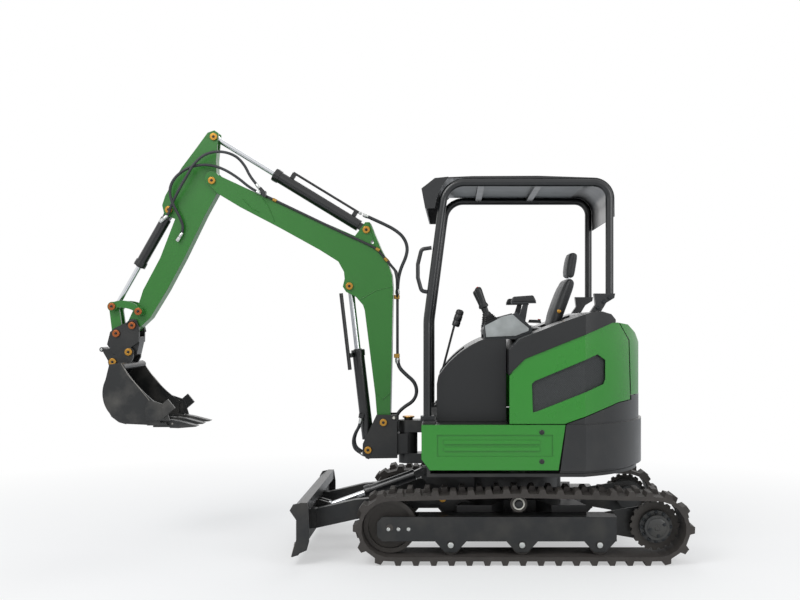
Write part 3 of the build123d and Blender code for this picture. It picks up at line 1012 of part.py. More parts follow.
# Bucket: a curved shell with ears, a lip and three teeth
with BuildPart() as bucket:
    def bucket_outline(inset):
        """The bucket's side outline, that far inside its shell."""
        with BuildSketch(side_plane(BUCKET_HALF - (inset and BUCKET_SHEET + 4))) as outline:
            with BuildLine():
                Polyline((SLEW_X - 2482 + inset * 3, 1159 - inset), (SLEW_X - 2556, 1150 - inset),
                         (SLEW_X - 2580 + inset, 1053))
                ThreePointArc((SLEW_X - 2580 + inset, 1053), (SLEW_X - 2577 + inset, 880),
                              (SLEW_X - 2449, 779 + inset))
                Polyline((SLEW_X - 2449, 779 + inset), (SLEW_X - 2239 + inset * 8, 769 + inset),
                         (SLEW_X - 2235 + inset * 8, 889))
                ThreePointArc((SLEW_X - 2235 + inset * 8, 889), (SLEW_X - 2385 + inset * 4, 1022),
                              (SLEW_X - 2482 + inset * 3, 1159 - inset))
            make_face()
        return outline.sketch
    extrude(bucket_outline(0), amount=2 * BUCKET_HALF)
    extrude(bucket_outline(BUCKET_SHEET), amount=2 * (BUCKET_HALF - BUCKET_SHEET - 4), mode=Mode.SUBTRACT)
    ear_y = EAR_Y + COUPLER_EAR + 2
    ear = [(qx + 30, qz + 10), (qx + 10, qz + 30), (qx - 20, qz + 24), (ux - 20, uz + 30), (ux - 32, uz)]
    ear += [(SLEW_X - 2590, 1080), (SLEW_X - 2540, 1060), (SLEW_X - 2470, 1148), (qx + 26, qz - 40)]
    both_sides(slab, ear, y_low=ear_y, y_high=ear_y + BUCKET_EAR)
    for pin in (BUCKET_FRONT_PIN, BUCKET_REAR_PIN):
        both_sides(drum, pin, PIN_RADIUS, y_low=EAR_Y, y_high=ear_y)
        both_sides(drum, pin, HEAD_RADIUS, y_low=ear_y + BUCKET_EAR, y_high=ear_y + BUCKET_EAR + HEAD_THICKNESS)
    lip = [(SLEW_X - 2320, 769), (SLEW_X - 2320, 787), (SLEW_X - 2205, 787), (SLEW_X - 2190, 769)]
    slab(lip, -BUCKET_HALF, BUCKET_HALF)
    for y in (-TOOTH_PITCH, 0, TOOTH_PITCH):
        shank = [(SLEW_X - 2290, 756), (SLEW_X - 2290, 800), (SLEW_X - 2225, 806), (SLEW_X - 2165, 796)]
        shank += [(SLEW_X - 2150, 756)]
        slab(shank, y - 26, y + 26)
        tooth = [(SLEW_X - 2185, 752), (SLEW_X - 2185, 804), (SLEW_X - 2120, 792), (SLEW_X - 2012, 764)]
        tooth += [(SLEW_X - 2020, 759), (SLEW_X - 2130, 750)]
        slab(tooth, y - 33, y + 33)
    cutter = [(SLEW_X - 2330, 800), (SLEW_X - 2330, 900), (SLEW_X - 2300, 930), (SLEW_X - 2205, 898)]
    cutter += [(SLEW_X - 2175, 800)]
    both_sides(slab, cutter, y_low=BUCKET_HALF, y_high=BUCKET_HALF + CUTTER_PLATE)
    both_sides(slab, [(SLEW_X - 2215, 815), (SLEW_X - 2225, 900), (SLEW_X - 2185, 935), (SLEW_X - 2140, 880)],
               y_low=BUCKET_HALF + CUTTER_PLATE - 4, y_high=BUCKET_HALF + CUTTER_PLATE + 14)
    drum((SLEW_X - 2482, 1135), 22, -BUCKET_HALF, BUCKET_HALF)
finish(bucket, "bucket")

cylinder(BOOM_CYL_BASE, BOOM_CYL_ROD, 38, 20, 640, 30, "boom",
         pipe=(56.0, -BOOM_HALF - HEAD_THICKNESS - MOVE_GAP - 12, 12.0, 520.0, 1010.0), clamps=(610.0,),
         ports=[((SLEW_X - 1002, 800), (SLEW_X - 1010, 750), 22), ((SLEW_X - 968, 560), (SLEW_X - 1034, 585), -1)])
cylinder(ARM_CYL_BASE, ARM_CYL_ROD, 38, 17, 700, 30, "arm",
         pipe=(-72.0, 0.0, 8.0, 105.0, 600.0), clamps=(125.0, 590.0))
cylinder(BUCKET_CYL_BASE, ROCKER_END, 34, 16, 414, 28, "bucket")


def hose(points, radius):
    """A hose along straight runs and tangent arcs, each arc as large as its two runs allow."""
    spots = [Vector(*p) for p in points]
    runs = [b - a for a, b in zip(spots, spots[1:])]
    bends = []
    for before, after in zip(runs, runs[1:]):
        turn = radians(before.get_angle(after))
        bends.append(0.45 * min(before.length, after.length) / tan(turn / 2))
    with BuildLine() as route:
        FilletPolyline(*spots, radius=bends)
    with BuildSketch(Plane(origin=route.wire() @ 0, z_dir=route.wire() % 0)) as section:
        Circle(radius)
    sweep(section.sketch, path=route.wire())
    print("hose", round(route.wire().length), "mm, tightest bend", round(min(bends)), "mm")


# Steel pipes up the back of the boom and along its top edge, with their clamps
PIPE_RADIUS = 8.0
PIPE_Y = BOOM_HALF + PIPE_RADIUS + SEAT_GAP
PIPE_X = SLEW_X - 771.0
PIPE_SIDE = [(PIPE_X, -20, 1184), (PIPE_X, -20, 1560), (PIPE_X, -PIPE_Y, 1690), (SLEW_X - 782, -PIPE_Y, 1742)]
PIPE_SIDE += [(SLEW_X - 893, -PIPE_Y, 1876), (SLEW_X - 957, -PIPE_Y, 1911), (SLEW_X - 1104, -PIPE_Y, 1978)]
PIPE_SIDE += [(SLEW_X - 1635, -PIPE_Y, 2232)]
with BuildPart() as boom_pipes:
    for sign in (1, -1):
        with BuildLine() as route:
            FilletPolyline(*[(x, sign * y, z) for x, y, z in PIPE_SIDE], radius=[80, 80, 30, 60, 60, 300])
        with BuildSketch(Plane(origin=route.wire() @ 0, z_dir=route.wire() % 0)) as section:
            Circle(PIPE_RADIUS)
        sweep(section.sketch, path=route.wire())
    with BuildSketch(Plane(origin=(PIPE_X, 0, 1184), z_dir=(0, 0, 1))):
        Circle(PIPE_RADIUS)
    extrude(amount=1590 - 1184)
    for z in CLAMP_ZS:
        clamp = [(SLEW_X - 792, z - 12), (SLEW_X - 792, z + 12), (PIPE_X + 12, z + 12), (PIPE_X + 12, z - 12)]
        slab(clamp, -32, 32)
    block = [(SLEW_X - 1628, 2216), (SLEW_X - 1628, 2246), (SLEW_X - 1602, 2246), (SLEW_X - 1602, 2204)]
    slab(block, -PIPE_Y - 36, -PIPE_Y + 6)
    port((SLEW_X - 1640, 2264), (SLEW_X - 1698, 2328), -PIPE_Y - 36, -PIPE_Y - 12, 12, 40)
finish(boom_pipes, "boom_pipes")

# Two hoses looped from the swing bracket up to the boom's pipes
with BuildPart() as boom_hoses:
    for y in (-20, 20):
        loop = [(PIPE_X, y, 1183.7), (PIPE_X + 2, y, 1130), (SLEW_X - 720, y, 1078), (SLEW_X - 660, y, 1028)]
        loop += [(SLEW_X - 643, y, 962), (SLEW_X - 668, y, 903), (SLEW_X - 730, y, 866)]
        loop += [(SLEW_X - 780, y, 815), (SLEW_X - 788, y, 755)]
        hose(loop, 11)
finish(boom_hoses, "boom_hoses")

# Hose from the pipes over to the arm cylinder
with BuildPart() as arm_cylinder_hose:
    loop = [(PIPE_X, 0, 1590.3), (PIPE_X + 1, 0, 1670), (SLEW_X - 752, 0, 1755), (SLEW_X - 716, 0, 1832)]
    loop += [(SLEW_X - 705, 0, 1895), (SLEW_X - 730, 0, 1960), (SLEW_X - 785, 0, 2008)]
    loop += [(SLEW_X - 850, 0, 2042), (SLEW_X - 920, 0, 2074), (SLEW_X - 992, 0, 2107)]
    hose(loop, 11)
finish(arm_cylinder_hose, "arm_cylinder_hose")

# Hoses from the boom's pipes round the boom's tip to the arm
with BuildPart() as arm_hoses:
    side = -PIPE_Y
    line = [(SLEW_X - 1635.3, side, 2232.1), (SLEW_X - 1700, side, 2263), (SLEW_X - 1790, side - 16, 2340)]
    line += [(SLEW_X - 1895, side - 20, 2400), (SLEW_X - 2000, side - 20, 2419), (SLEW_X - 2105, side - 20, 2396)]
    line += [(SLEW_X - 2190, side - 20, 2330), (SLEW_X - 2222, side - 20, 2245), (SLEW_X - 2190, side - 16, 2150)]
    line += [(SLEW_X - 2146, side - 6, 2070), (SLEW_X - 2132, side + 12, 2000), (HOSE_LOW[0], side + 12, HOSE_LOW[1])]
    hose(line, 9)
    high = [(SLEW_X - 1640, side - 24, 2264), (SLEW_X - 1698, side - 24, 2328), (SLEW_X - 1735, side - 30, 2410)]
    high += [(SLEW_X - 1790, side - 34, 2470), (SLEW_X - 1880, side - 36, 2500), (SLEW_X - 1980, side - 36, 2487)]
    high += [(SLEW_X - 2055, side - 36, 2425), (SLEW_X - 2110, side - 36, 2330), (SLEW_X - 2165, side - 30, 2235)]
    high += [(SLEW_X - 2212, side - 8, 2150), (SLEW_X - 2228, side + 6, 2098), (HOSE_HIGH[0], side + 6, HOSE_HIGH[1])]
    hose(high, 9)
finish(arm_hoses, "arm_hoses")

# Hoses looped beside the boom cylinder's foot into the swing bracket
with BuildPart() as boom_cylinder_hoses:
    for y in (-56, 56):
        loop = [(SLEW_X - 1002, y, 800), (SLEW_X - 1010, y, 750), (SLEW_X - 1042, y, 700)]
        loop += [(SLEW_X - 1056, y, 640), (SLEW_X - 1034, y, 585), (SLEW_X - 968, y, 560)]
        hose(loop, 9)
finish(boom_cylinder_hoses, "boom_cylinder_hoses")
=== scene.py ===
import math

import bmesh
import bpy
from mathutils import Matrix, Vector


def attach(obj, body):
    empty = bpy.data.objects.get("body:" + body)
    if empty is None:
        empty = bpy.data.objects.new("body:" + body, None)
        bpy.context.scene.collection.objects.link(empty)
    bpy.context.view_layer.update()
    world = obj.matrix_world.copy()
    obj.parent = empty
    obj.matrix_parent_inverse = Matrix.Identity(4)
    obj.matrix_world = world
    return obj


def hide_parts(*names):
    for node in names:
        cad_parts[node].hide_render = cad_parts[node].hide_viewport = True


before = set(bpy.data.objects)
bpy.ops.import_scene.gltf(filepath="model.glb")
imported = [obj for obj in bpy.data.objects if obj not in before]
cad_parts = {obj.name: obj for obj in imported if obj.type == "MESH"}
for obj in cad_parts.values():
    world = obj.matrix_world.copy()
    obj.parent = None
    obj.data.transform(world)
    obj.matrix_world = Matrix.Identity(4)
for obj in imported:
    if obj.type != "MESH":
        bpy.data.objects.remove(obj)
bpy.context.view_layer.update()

# All places are metres in the machine's own frame: X to the rear, Y to its right, Z up


# The studio: a wide pale floor under soft light, and the camera where the photographer
# stood, square to the machine's left side. Floor and sky read white to the lens only,
# so the machine is lit at a plain level and the floor keeps its shadow.
def linear(code):
    """A colour written as sRGB hex, as Blender's linear numbers."""
    parts = [int(code[i : i + 2], 16) / 255 for i in (0, 2, 4)]
    return [c / 12.92 if c <= 0.04045 else ((c + 0.055) / 1.055) ** 2.4 for c in parts] + [1.0]


def node(tree, kind, links=(), **settings):
    """A shader node with its settings, linked as {its input: another node's output}."""
    made = tree.nodes.new("ShaderNode" + kind)
    for name, value in settings.items():
        if name in made.bl_rna.properties:
            setattr(made, name, value)
        else:
            made.inputs[name.replace("_", " ")].default_value = value
    for name, output in dict(links).items():
        tree.links.new(output, made.inputs[name])
    return made


def blank(name):
    """An empty material and its tree."""
    made = bpy.data.materials.new(name)
    made.use_nodes = True
    made.node_tree.nodes.clear()
    return made, made.node_tree


LENS_AT = (0.450, -7.450, 1.427)
lens = bpy.data.cameras.new("camera")
lens.sensor_width = 36.0
lens.lens = 51.97
lens.shift_x = -55 / 800
lens.shift_y = 20 / 800
lens.clip_end = 200
camera = bpy.data.objects.new("camera", lens)
camera.location = LENS_AT
camera.rotation_euler = (math.radians(90), 0, 0)
bpy.context.scene.collection.objects.link(camera)
bpy.context.scene.camera = camera
bpy.context.scene.view_settings.view_transform = "Standard"

sky = bpy.data.worlds.new("sky")
sky.use_nodes = True
tree = sky.node_tree
tree.nodes.clear()
rays = node(tree, "LightPath")
seen = node(tree, "Math", {0: rays.outputs["Is Camera Ray"], 1: rays.outputs["Is Glossy Ray"]}, operation="MAXIMUM")
seen = node(tree, "Math", {0: seen.outputs[0], 1: rays.outputs["Is Transmission Ray"]}, operation="MAXIMUM")
lit = node(tree, "Background", Color=linear("e9edf2"), Strength=0.62)
white = node(tree, "Background", Color=(1, 1, 1, 1), Strength=1.0)
either = node(tree, "MixShader", {0: seen.outputs[0], 1: lit.outputs[0], 2: white.outputs[0]})
node(tree, "OutputWorld", {"Surface": either.outputs[0]})
bpy.context.scene.world = sky

FLOOR_HALF = 60.0
floor_paint, tree = blank("studio_floor")
rays = node(tree, "LightPath")
matte = node(tree, "BsdfDiffuse", Color=linear("f4f4f4"))
glow = node(tree, "Emission", Color=(1, 1, 1, 1), Strength=1.0)
place = node(tree, "TexCoord")
reach = node(tree, "VectorMath", {0: place.outputs["Object"]}, operation="LENGTH")
fade = node(tree, "MapRange", {"Value": reach.outputs["Value"]})
fade.inputs["From Min"].default_value, fade.inputs["From Max"].default_value = 1.5, 5.0
fade.inputs["To Min"].default_value, fade.inputs["To Max"].default_value = 0.45, 1.0
share = node(tree, "Math", {0: rays.outputs["Is Camera Ray"], 1: fade.outputs["Result"]}, operation="MULTIPLY")
mix = node(tree, "MixShader", {0: share.outputs[0], 1: matte.outputs[0], 2: glow.outputs[0]})
node(tree, "OutputMaterial", {"Surface": mix.outputs[0]})
sheet = bpy.data.meshes.new("floor")
corners = [(-FLOOR_HALF, -FLOOR_HALF, 0), (FLOOR_HALF, -FLOOR_HALF, 0)]
corners += [(FLOOR_HALF, FLOOR_HALF, 0), (-FLOOR_HALF, FLOOR_HALF, 0)]
sheet.from_pydata(corners, [], [(0, 1, 2, 3)])
floor = bpy.data.objects.new("floor", sheet)
floor.data.materials.append(floor_paint)
bpy.context.scene.collection.objects.link(floor)

SOFTBOXES = [
    # name, place, what it looks at, width, power
    ("key", (-3.6, -5.6, 6.4), (0.2, 0, 1.0), 4.0, 270),
    ("fill", (5.5, -5.0, 3.0), (0.4, 0, 1.0), 3.5, 110),
    ("back", (1.0, 6.0, 6.0), (0.2, 0, 1.2), 4.5, 150),
]
for name, place, target, width, power in SOFTBOXES:
    lamp = bpy.data.lights.new(name, "AREA")
    lamp.size = width
    lamp.energy = power
    box = bpy.data.objects.new(name, lamp)
    box.location = place
    aim = Vector(target) - Vector(place)
    box.rotation_euler = aim.to_track_quat("-Z", "Y").to_euler()
    bpy.context.scene.collection.objects.link(box)


# Hydraulic hoses: wire-braided rubber with pressed steel ends. They are laid first,
# since they are the only pieces that hang free. Each follows the route that the
# solids follow, as one smooth line through the same points.
def rubber(name, colour, roughness=0.62, grain=0.0006, scale=900.0):
    """Moulded rubber or soft plastic with a fine grain."""
    made, tree = blank(name)
    place = node(tree, "TexCoord")
    speck = node(tree, "TexNoise", {"Vector": place.outputs["Object"]}, Scale=scale, Detail=2.0)
    dust = node(tree, "TexNoise", {"Vector": place.outputs["Object"]}, Scale=14.0, Detail=5.0)
    tone = node(tree, "ValToRGB", {"Fac": dust.outputs["Fac"]})
    tone.color_ramp.elements[0].position, tone.color_ramp.elements[1].position = 0.35, 0.75
    tone.color_ramp.elements[0].color = linear(colour)
    tone.color_ramp.elements[1].color = [min(1, c * 1.35 + 0.004) for c in linear(colour)[:3]] + [1]
    bump = node(tree, "Bump", {"Height": speck.outputs["Fac"]}, Strength=0.35, Distance=grain)
    skin = node(tree, "BsdfPrincipled", {"Base Color": tone.outputs[0], "Normal": bump.outputs[0]},
                Roughness=roughness, IOR=1.52)
    node(tree, "OutputMaterial", {"Surface": skin.outputs[0]})
    return made


def metal(name, colour, roughness=0.3, metallic=1.0, brushed=0.0):
    """Bare or plated metal, with a soft unevenness in its gloss."""
    made, tree = blank(name)
    place = node(tree, "TexCoord")
    cloud = node(tree, "TexNoise", {"Vector": place.outputs["Object"]}, Scale=60.0, Detail=4.0)
    gloss = node(tree, "MapRange", {"Value": cloud.outputs["Fac"]})
    gloss.inputs["To Min"].default_value = roughness - 0.06
    gloss.inputs["To Max"].default_value = roughness + 0.10
    bump = node(tree, "Bump", {"Height": cloud.outputs["Fac"]}, Strength=brushed, Distance=0.0004)
    skin = node(tree, "BsdfPrincipled", {"Roughness": gloss.outputs["Result"], "Normal": bump.outputs[0]},
                Base_Color=linear(colour), Metallic=metallic)
    node(tree, "OutputMaterial", {"Surface": skin.outputs[0]})
    return made


def place_piece(name, mesh, material, body, smooth=True):
    """A mesh as a piece that rides on a body."""
    piece = bpy.data.objects.new(name, mesh)
    mesh.materials.append(material)
    if smooth:
        for face in mesh.polygons:
            face.use_smooth = True
    bpy.context.scene.collection.objects.link(piece)
    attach(piece, body)
    return piece


def lathe(name, profile, at, along, material, body, turns=32):
    """A turned piece: (along, radius) pairs spun about an axis that starts at a point."""
    work = bmesh.new()
    rings = []
    for depth, radius in profile:
        ring = []
        for k in range(turns):
            angle = 2 * math.pi * k / turns
            ring.append(work.verts.new((radius * math.cos(angle), radius * math.sin(angle), depth)))
        rings.append(ring)
    for low, high in zip(rings, rings[1:]):
        for k in range(turns):
            work.faces.new((low[k], low[(k + 1) % turns], high[(k + 1) % turns], high[k]))
    work.faces.new(list(reversed(rings[0])))
    work.faces.new(rings[-1])
    turn = Vector(along).to_track_quat("Z", "Y").to_matrix().to_4x4()
    work.transform(Matrix.Translation(at) @ turn)
    bmesh.ops.recalc_face_normals(work, faces=work.faces)
    mesh = bpy.data.meshes.new(name)
    work.to_mesh(mesh)
    work.free()
    piece = place_piece(name, mesh, material, body)
    edges = piece.modifiers.new("edges", "BEVEL")
    edges.width, edges.segments, edges.limit_method = 0.0008, 2, "ANGLE"
    mesh.set_sharp_from_angle(angle=math.radians(38))
    return piece


hose_rubber = rubber("braided_hose_rubber", "24272a", roughness=0.55, scale=1400.0)
fitting_steel = metal("zinc_plated_fitting", "c9cbc9", roughness=0.28)
CRIMP = [(0.0, 0.6), (0.002, 1.22), (0.010, 1.30), (0.026, 1.30), (0.030, 1.14), (0.034, 1.14), (0.036, 1.02)]


def hose(name, points, radius, body):
    """One hose with a pressed ferrule at each end."""
    curve = bpy.data.curves.new(name, "CURVE")
    curve.dimensions = "3D"
    line = curve.splines.new("NURBS")
    line.points.add(len(points) - 1)
    for spot, (x, y, z) in zip(line.points, points):
        spot.co = (x, y, z, 1)
    line.order_u = 3
    line.use_endpoint_u = True
    line.resolution_u = 10
    curve.bevel_depth = radius
    curve.bevel_resolution = 5
    curve.use_fill_caps = True
    curve.materials.append(hose_rubber)
    piece = bpy.data.objects.new(name, curve)
    bpy.context.scene.collection.objects.link(piece)
    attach(piece, body)
    for k, (end, inner) in enumerate(((points[0], points[1]), (points[-1], points[-2]))):
        away = Vector(inner) - Vector(end)
        lathe(f"{name}_ferrule_{k}", [(d, r * radius) for d, r in CRIMP], end, away,
                          fitting_steel, body, turns=20)
    return piece


for side in (-0.020, 0.020):
    route = [(0.079, side, 1.1837), (0.081, side, 1.130), (0.130, side, 1.078), (0.190, side, 1.028)]
    route += [(0.207, side, 0.962), (0.182, side, 0.903), (0.120, side, 0.866), (0.070, side, 0.815)]
    route += [(0.062, side, 0.755)]
    made = hose(f"boom_hose_{'left' if side < 0 else 'right'}", route, 0.011, "boom")
    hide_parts("boom_hoses")

route = [(0.079, 0, 1.5903), (0.080, 0, 1.670), (0.098, 0, 1.755), (0.134, 0, 1.832), (0.145, 0, 1.895)]
route += [(0.120, 0, 1.960), (0.065, 0, 2.008), (0.0, 0, 2.042), (-0.070, 0, 2.074), (-0.142, 0, 2.107)]
made = hose("arm_cylinder_supply_hose", route, 0.011, "boom")
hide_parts("arm_cylinder_hose")

SIDE = -0.0833
route = [(-0.7853, SIDE, 2.2321), (-0.850, SIDE, 2.263), (-0.940, SIDE - 0.016, 2.340)]
route += [(-1.045, SIDE - 0.020, 2.400), (-1.150, SIDE - 0.020, 2.419), (-1.255, SIDE - 0.020, 2.396)]
route += [(-1.340, SIDE - 0.020, 2.330), (-1.372, SIDE - 0.020, 2.245), (-1.340, SIDE - 0.016, 2.150)]
route += [(-1.296, SIDE - 0.006, 2.070), (-1.282, SIDE + 0.012, 2.000), (-1.310, SIDE + 0.012, 1.955)]
made = hose("arm_hose_inner", route, 0.009, "boom")
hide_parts("arm_hoses")
route = [(-0.790, SIDE - 0.024, 2.264), (-0.848, SIDE - 0.024, 2.328), (-0.885, SIDE - 0.030, 2.410)]
route += [(-0.940, SIDE - 0.034, 2.470), (-1.030, SIDE - 0.036, 2.500), (-1.130, SIDE - 0.036, 2.487)]
route += [(-1.205, SIDE - 0.036, 2.425), (-1.260, SIDE - 0.036, 2.330), (-1.315, SIDE - 0.030, 2.235)]
route += [(-1.362, SIDE - 0.008, 2.150), (-1.378, SIDE + 0.006, 2.098), (-1.412, SIDE + 0.006, 2.071)]
made = hose("arm_hose_outer", route, 0.009, "boom")
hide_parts("arm_hoses")

for side in (-0.056, 0.056):
    route = [(-0.152, side, 0.800), (-0.160, side, 0.750), (-0.192, side, 0.700), (-0.206, side, 0.640)]
    route += [(-0.184, side, 0.585), (-0.118, side, 0.560)]
    made = hose(f"boom_cylinder_hose_{'left' if side < 0 else 'right'}", route, 0.009, "boom_barrel")
    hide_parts("boom_cylinder_hoses")


# Undercarriage: a welded frame of plate, painted satin black, that carries the track
# frames, the slewing bearing and the blade's pivots. Its pins are plated steel.
def paint(name, colour, roughness=0.32, coat=0.25, dust="6f6a60", dusty=0.0, edge=0.003):
    """Sprayed and baked machine paint: rounded plate edges, faint orange peel and dust."""
    made, tree = blank(name)
    place = node(tree, "TexCoord")
    peel = node(tree, "TexNoise", {"Vector": place.outputs["Object"]}, Scale=420.0, Detail=2.0)
    cloud = node(tree, "TexNoise", {"Vector": place.outputs["Object"]}, Scale=7.0, Detail=6.0)
    amount = node(tree, "MapRange", {"Value": cloud.outputs["Fac"]})
    amount.inputs["From Min"].default_value, amount.inputs["From Max"].default_value = 0.45, 0.85
    amount.inputs["To Max"].default_value = dusty
    tone = node(tree, "MixRGB", {"Fac": amount.outputs["Result"]}, Color1=linear(colour), Color2=linear(dust))
    gloss = node(tree, "MapRange", {"Value": cloud.outputs["Fac"]})
    gloss.inputs["To Min"].default_value = roughness - 0.05
    gloss.inputs["To Max"].default_value = roughness + 0.12
    round_edge = node(tree, "Bevel", Radius=edge)
    round_edge.samples = 4
    bump = node(tree, "Bump", {"Height": peel.outputs["Fac"], "Normal": round_edge.outputs[0]},
                Strength=0.08, Distance=0.0006)
    skin = node(tree, "BsdfPrincipled",
                {"Base Color": tone.outputs[0], "Roughness": gloss.outputs["Result"], "Normal": bump.outputs[0]},
                IOR=1.5, Coat_Weight=coat, Coat_Roughness=0.12)
    node(tree, "OutputMaterial", {"Surface": skin.outputs[0]})
    return made


def dress(material, *names):
    """Gives a material to the machine's own solids."""
    for name in names:
        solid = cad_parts[name]
        solid.data.materials.clear()
        solid.data.materials.append(material)


chassis_black = paint("chassis_black_paint", "0e1012", roughness=0.40, coat=0.15, dusty=0.18)
dress(chassis_black, "undercarriage_frame", "track_frame_left", "track_frame_right", "blade_arms", "blade")
bearing_steel = metal("slewing_bearing_steel", "5c5f60", roughness=0.42)
dress(bearing_steel, "slew_bearing")

bolt_steel = metal("black_oxide_bolt", "3a3c3e", roughness=0.38)
zinc_steel = metal("yellow_zinc_pin", "b8893f", roughness=0.30)


def bolt(name, at, along, radius, material, body):
    """A flanged hexagon bolt head with its washer."""
    washer = lathe(f"{name}_washer", [(0.0, 1.45 * radius), (0.30 * radius, 1.45 * radius)], at, along,
                   material, body, turns=20)
    lift = Vector(at) + Vector(along).normalized() * 0.30 * radius
    head = lathe(name, [(0.0, radius), (0.75 * radius, radius), (0.95 * radius, 0.84 * radius)], lift, along,
                 material, body, turns=6)
    return washer, head


PIN_HEAD = [(0.0, 1.08), (0.005, 1.12), (0.014, 1.12), (0.0155, 1.04), (0.0158, 0.44), (0.0150, 0.40)]


def pin_head(name, pin, face_y, body, radius=0.021, material=None):
    """A plated pin's flanged head over each of its two ends, with the bolt that locks it."""
    for side in (-1, 1):
        at = (pin[0], side * (face_y - 0.012), pin[1])
        out = (0, side, 0)
        tag = f"{name}_{'left' if side < 0 else 'right'}"
        lathe(f"{tag}_head", [(d, r * radius) for d, r in PIN_HEAD], at, out, material or zinc_steel, body)
        bolt(f"{tag}_bolt", (pin[0], side * (face_y + 0.0022), pin[1]), out, 0.006, bolt_steel, body)


pin_head("blade_pivot_pin", (0.375, 0.340), 0.416, "undercarriage")

# Rollers, idlers and sprockets: cast iron, dark paint worn to steel where the track runs.
# The upper roller has a pale seal ring and a black cap over its axle.
roller_iron = metal("roller_cast_iron", "4b4845", roughness=0.52, metallic=0.7, brushed=0.3)
dress(roller_iron, "rollers_left", "rollers_right", "sprocket_left", "sprocket_right")
seal_white = rubber("seal_ring_plastic", "d9d6cc", roughness=0.45)
cap_black = rubber("black_cap_plastic", "111314", roughness=0.35)
drive_black = paint("final_drive_black_paint", "1b1d1e", roughness=0.42, dusty=0.25)
dress(drive_black, "final_drive_left", "final_drive_right")
SPROCKET = (0.850 + 0.782, 0.212)
ROLLER_XS = (0.425, 0.843, 1.298)
for sign, tag in ((-1, "left"), (1, "right")):
    out = (0, sign, 0)
    lathe(f"carrier_seal_{tag}", [(0.0, 0.034), (0.003, 0.036), (0.006, 0.034)],
          (0.825, sign * 0.660, 0.346), out, seal_white, "undercarriage")
    lathe(f"carrier_cap_{tag}", [(0.0, 0.026), (0.012, 0.026), (0.018, 0.020), (0.020, 0.008)],
          (0.825, sign * 0.664, 0.346), out, cap_black, "undercarriage")
    for k, x in enumerate(ROLLER_XS):
        lathe(f"roller_axle_{k}_{tag}", [(0.0, 0.017), (0.004, 0.017), (0.005, 0.012)],
              (x, sign * 0.7001, 0.1103), out, fitting_steel, "undercarriage", turns=24)
    for k in range(12):
        angle = math.radians(30 * k)
        spot = (SPROCKET[0] + 0.085 * math.cos(angle), sign * 0.660, SPROCKET[1] + 0.085 * math.sin(angle))
        bolt(f"drive_bolt_{k}_{tag}", spot, out, 0.008, bolt_steel, "undercarriage")
    lathe(f"hub_cap_{tag}", [(0.0, 0.056), (0.004, 0.056), (0.007, 0.050), (0.008, 0.016), (0.012, 0.014)],
          (SPROCKET[0], sign * 0.700, SPROCKET[1]), out, drive_black, "undercarriage")
    for k, spot in enumerate(((40, 20), (-44, -8), (6, -46))):
        bolt(f"hub_plug_{k}_{tag}", (SPROCKET[0] + spot[0] / 1000, sign * 0.7065, SPROCKET[1] + spot[1] / 1000),
             out, 0.007, bolt_steel, "undercarriage")
    for k, x in enumerate((0.060, 0.119, 0.178)):
        bolt(f"tension_guard_bolt_{k}_{tag}", (x, sign * 0.6921, 0.202), out, 0.0075, fitting_steel, "undercarriage")

# Rubber tracks: moulded round steel cords, a lug on every second link with the rows
# staggered, and brown dust worked into the rubber.
track_rubber = rubber("track_rubber", "302c29", roughness=0.72, grain=0.0012, scale=260.0)
dress(track_rubber, "track_left", "track_right")

# Blade: a rolled mouldboard between end plates, with a hardened edge bolted along its
# foot. The cylinder behind it works under a folded guard.
worn_steel = metal("worn_edge_steel", "8b8883", roughness=0.45, brushed=0.5)


def plate(name, outline, low_y, high_y, material, body, round_by=0.002, segments=2):
    """A flat plate across the machine, its (x, z) outline between two side planes."""
    work = bmesh.new()
    face = work.faces.new([work.verts.new((x, low_y, z)) for x, z in outline])
    grown = bmesh.ops.extrude_face_region(work, geom=[face])
    moved = [v for v in grown["geom"] if isinstance(v, bmesh.types.BMVert)]
    bmesh.ops.translate(work, verts=moved, vec=(0, high_y - low_y, 0))
    bmesh.ops.recalc_face_normals(work, faces=work.faces)
    mesh = bpy.data.meshes.new(name)
    work.to_mesh(mesh)
    work.free()
    piece = place_piece(name, mesh, material, body)
    mesh.set_sharp_from_angle(angle=math.radians(38))
    edges = piece.modifiers.new("edges", "BEVEL")
    edges.width, edges.segments, edges.limit_method = round_by, segments, "ANGLE"
    edges.harden_normals = True
    return piece


EDGE_BOLT_YS = [-0.60, -0.36, -0.12, 0.12, 0.36, 0.60]
plate("blade_cutting_edge", [(-0.504, 0.050), (-0.4985, 0.050), (-0.478, 0.128), (-0.4835, 0.128)],
      -0.737, 0.737, worn_steel, "blade", round_by=0.0015)
for k, y in enumerate(EDGE_BOLT_YS):
    bolt(f"edge_bolt_{k}", (-0.490, y, 0.098), (-0.97, 0, 0.25), 0.011, bolt_steel, "blade")

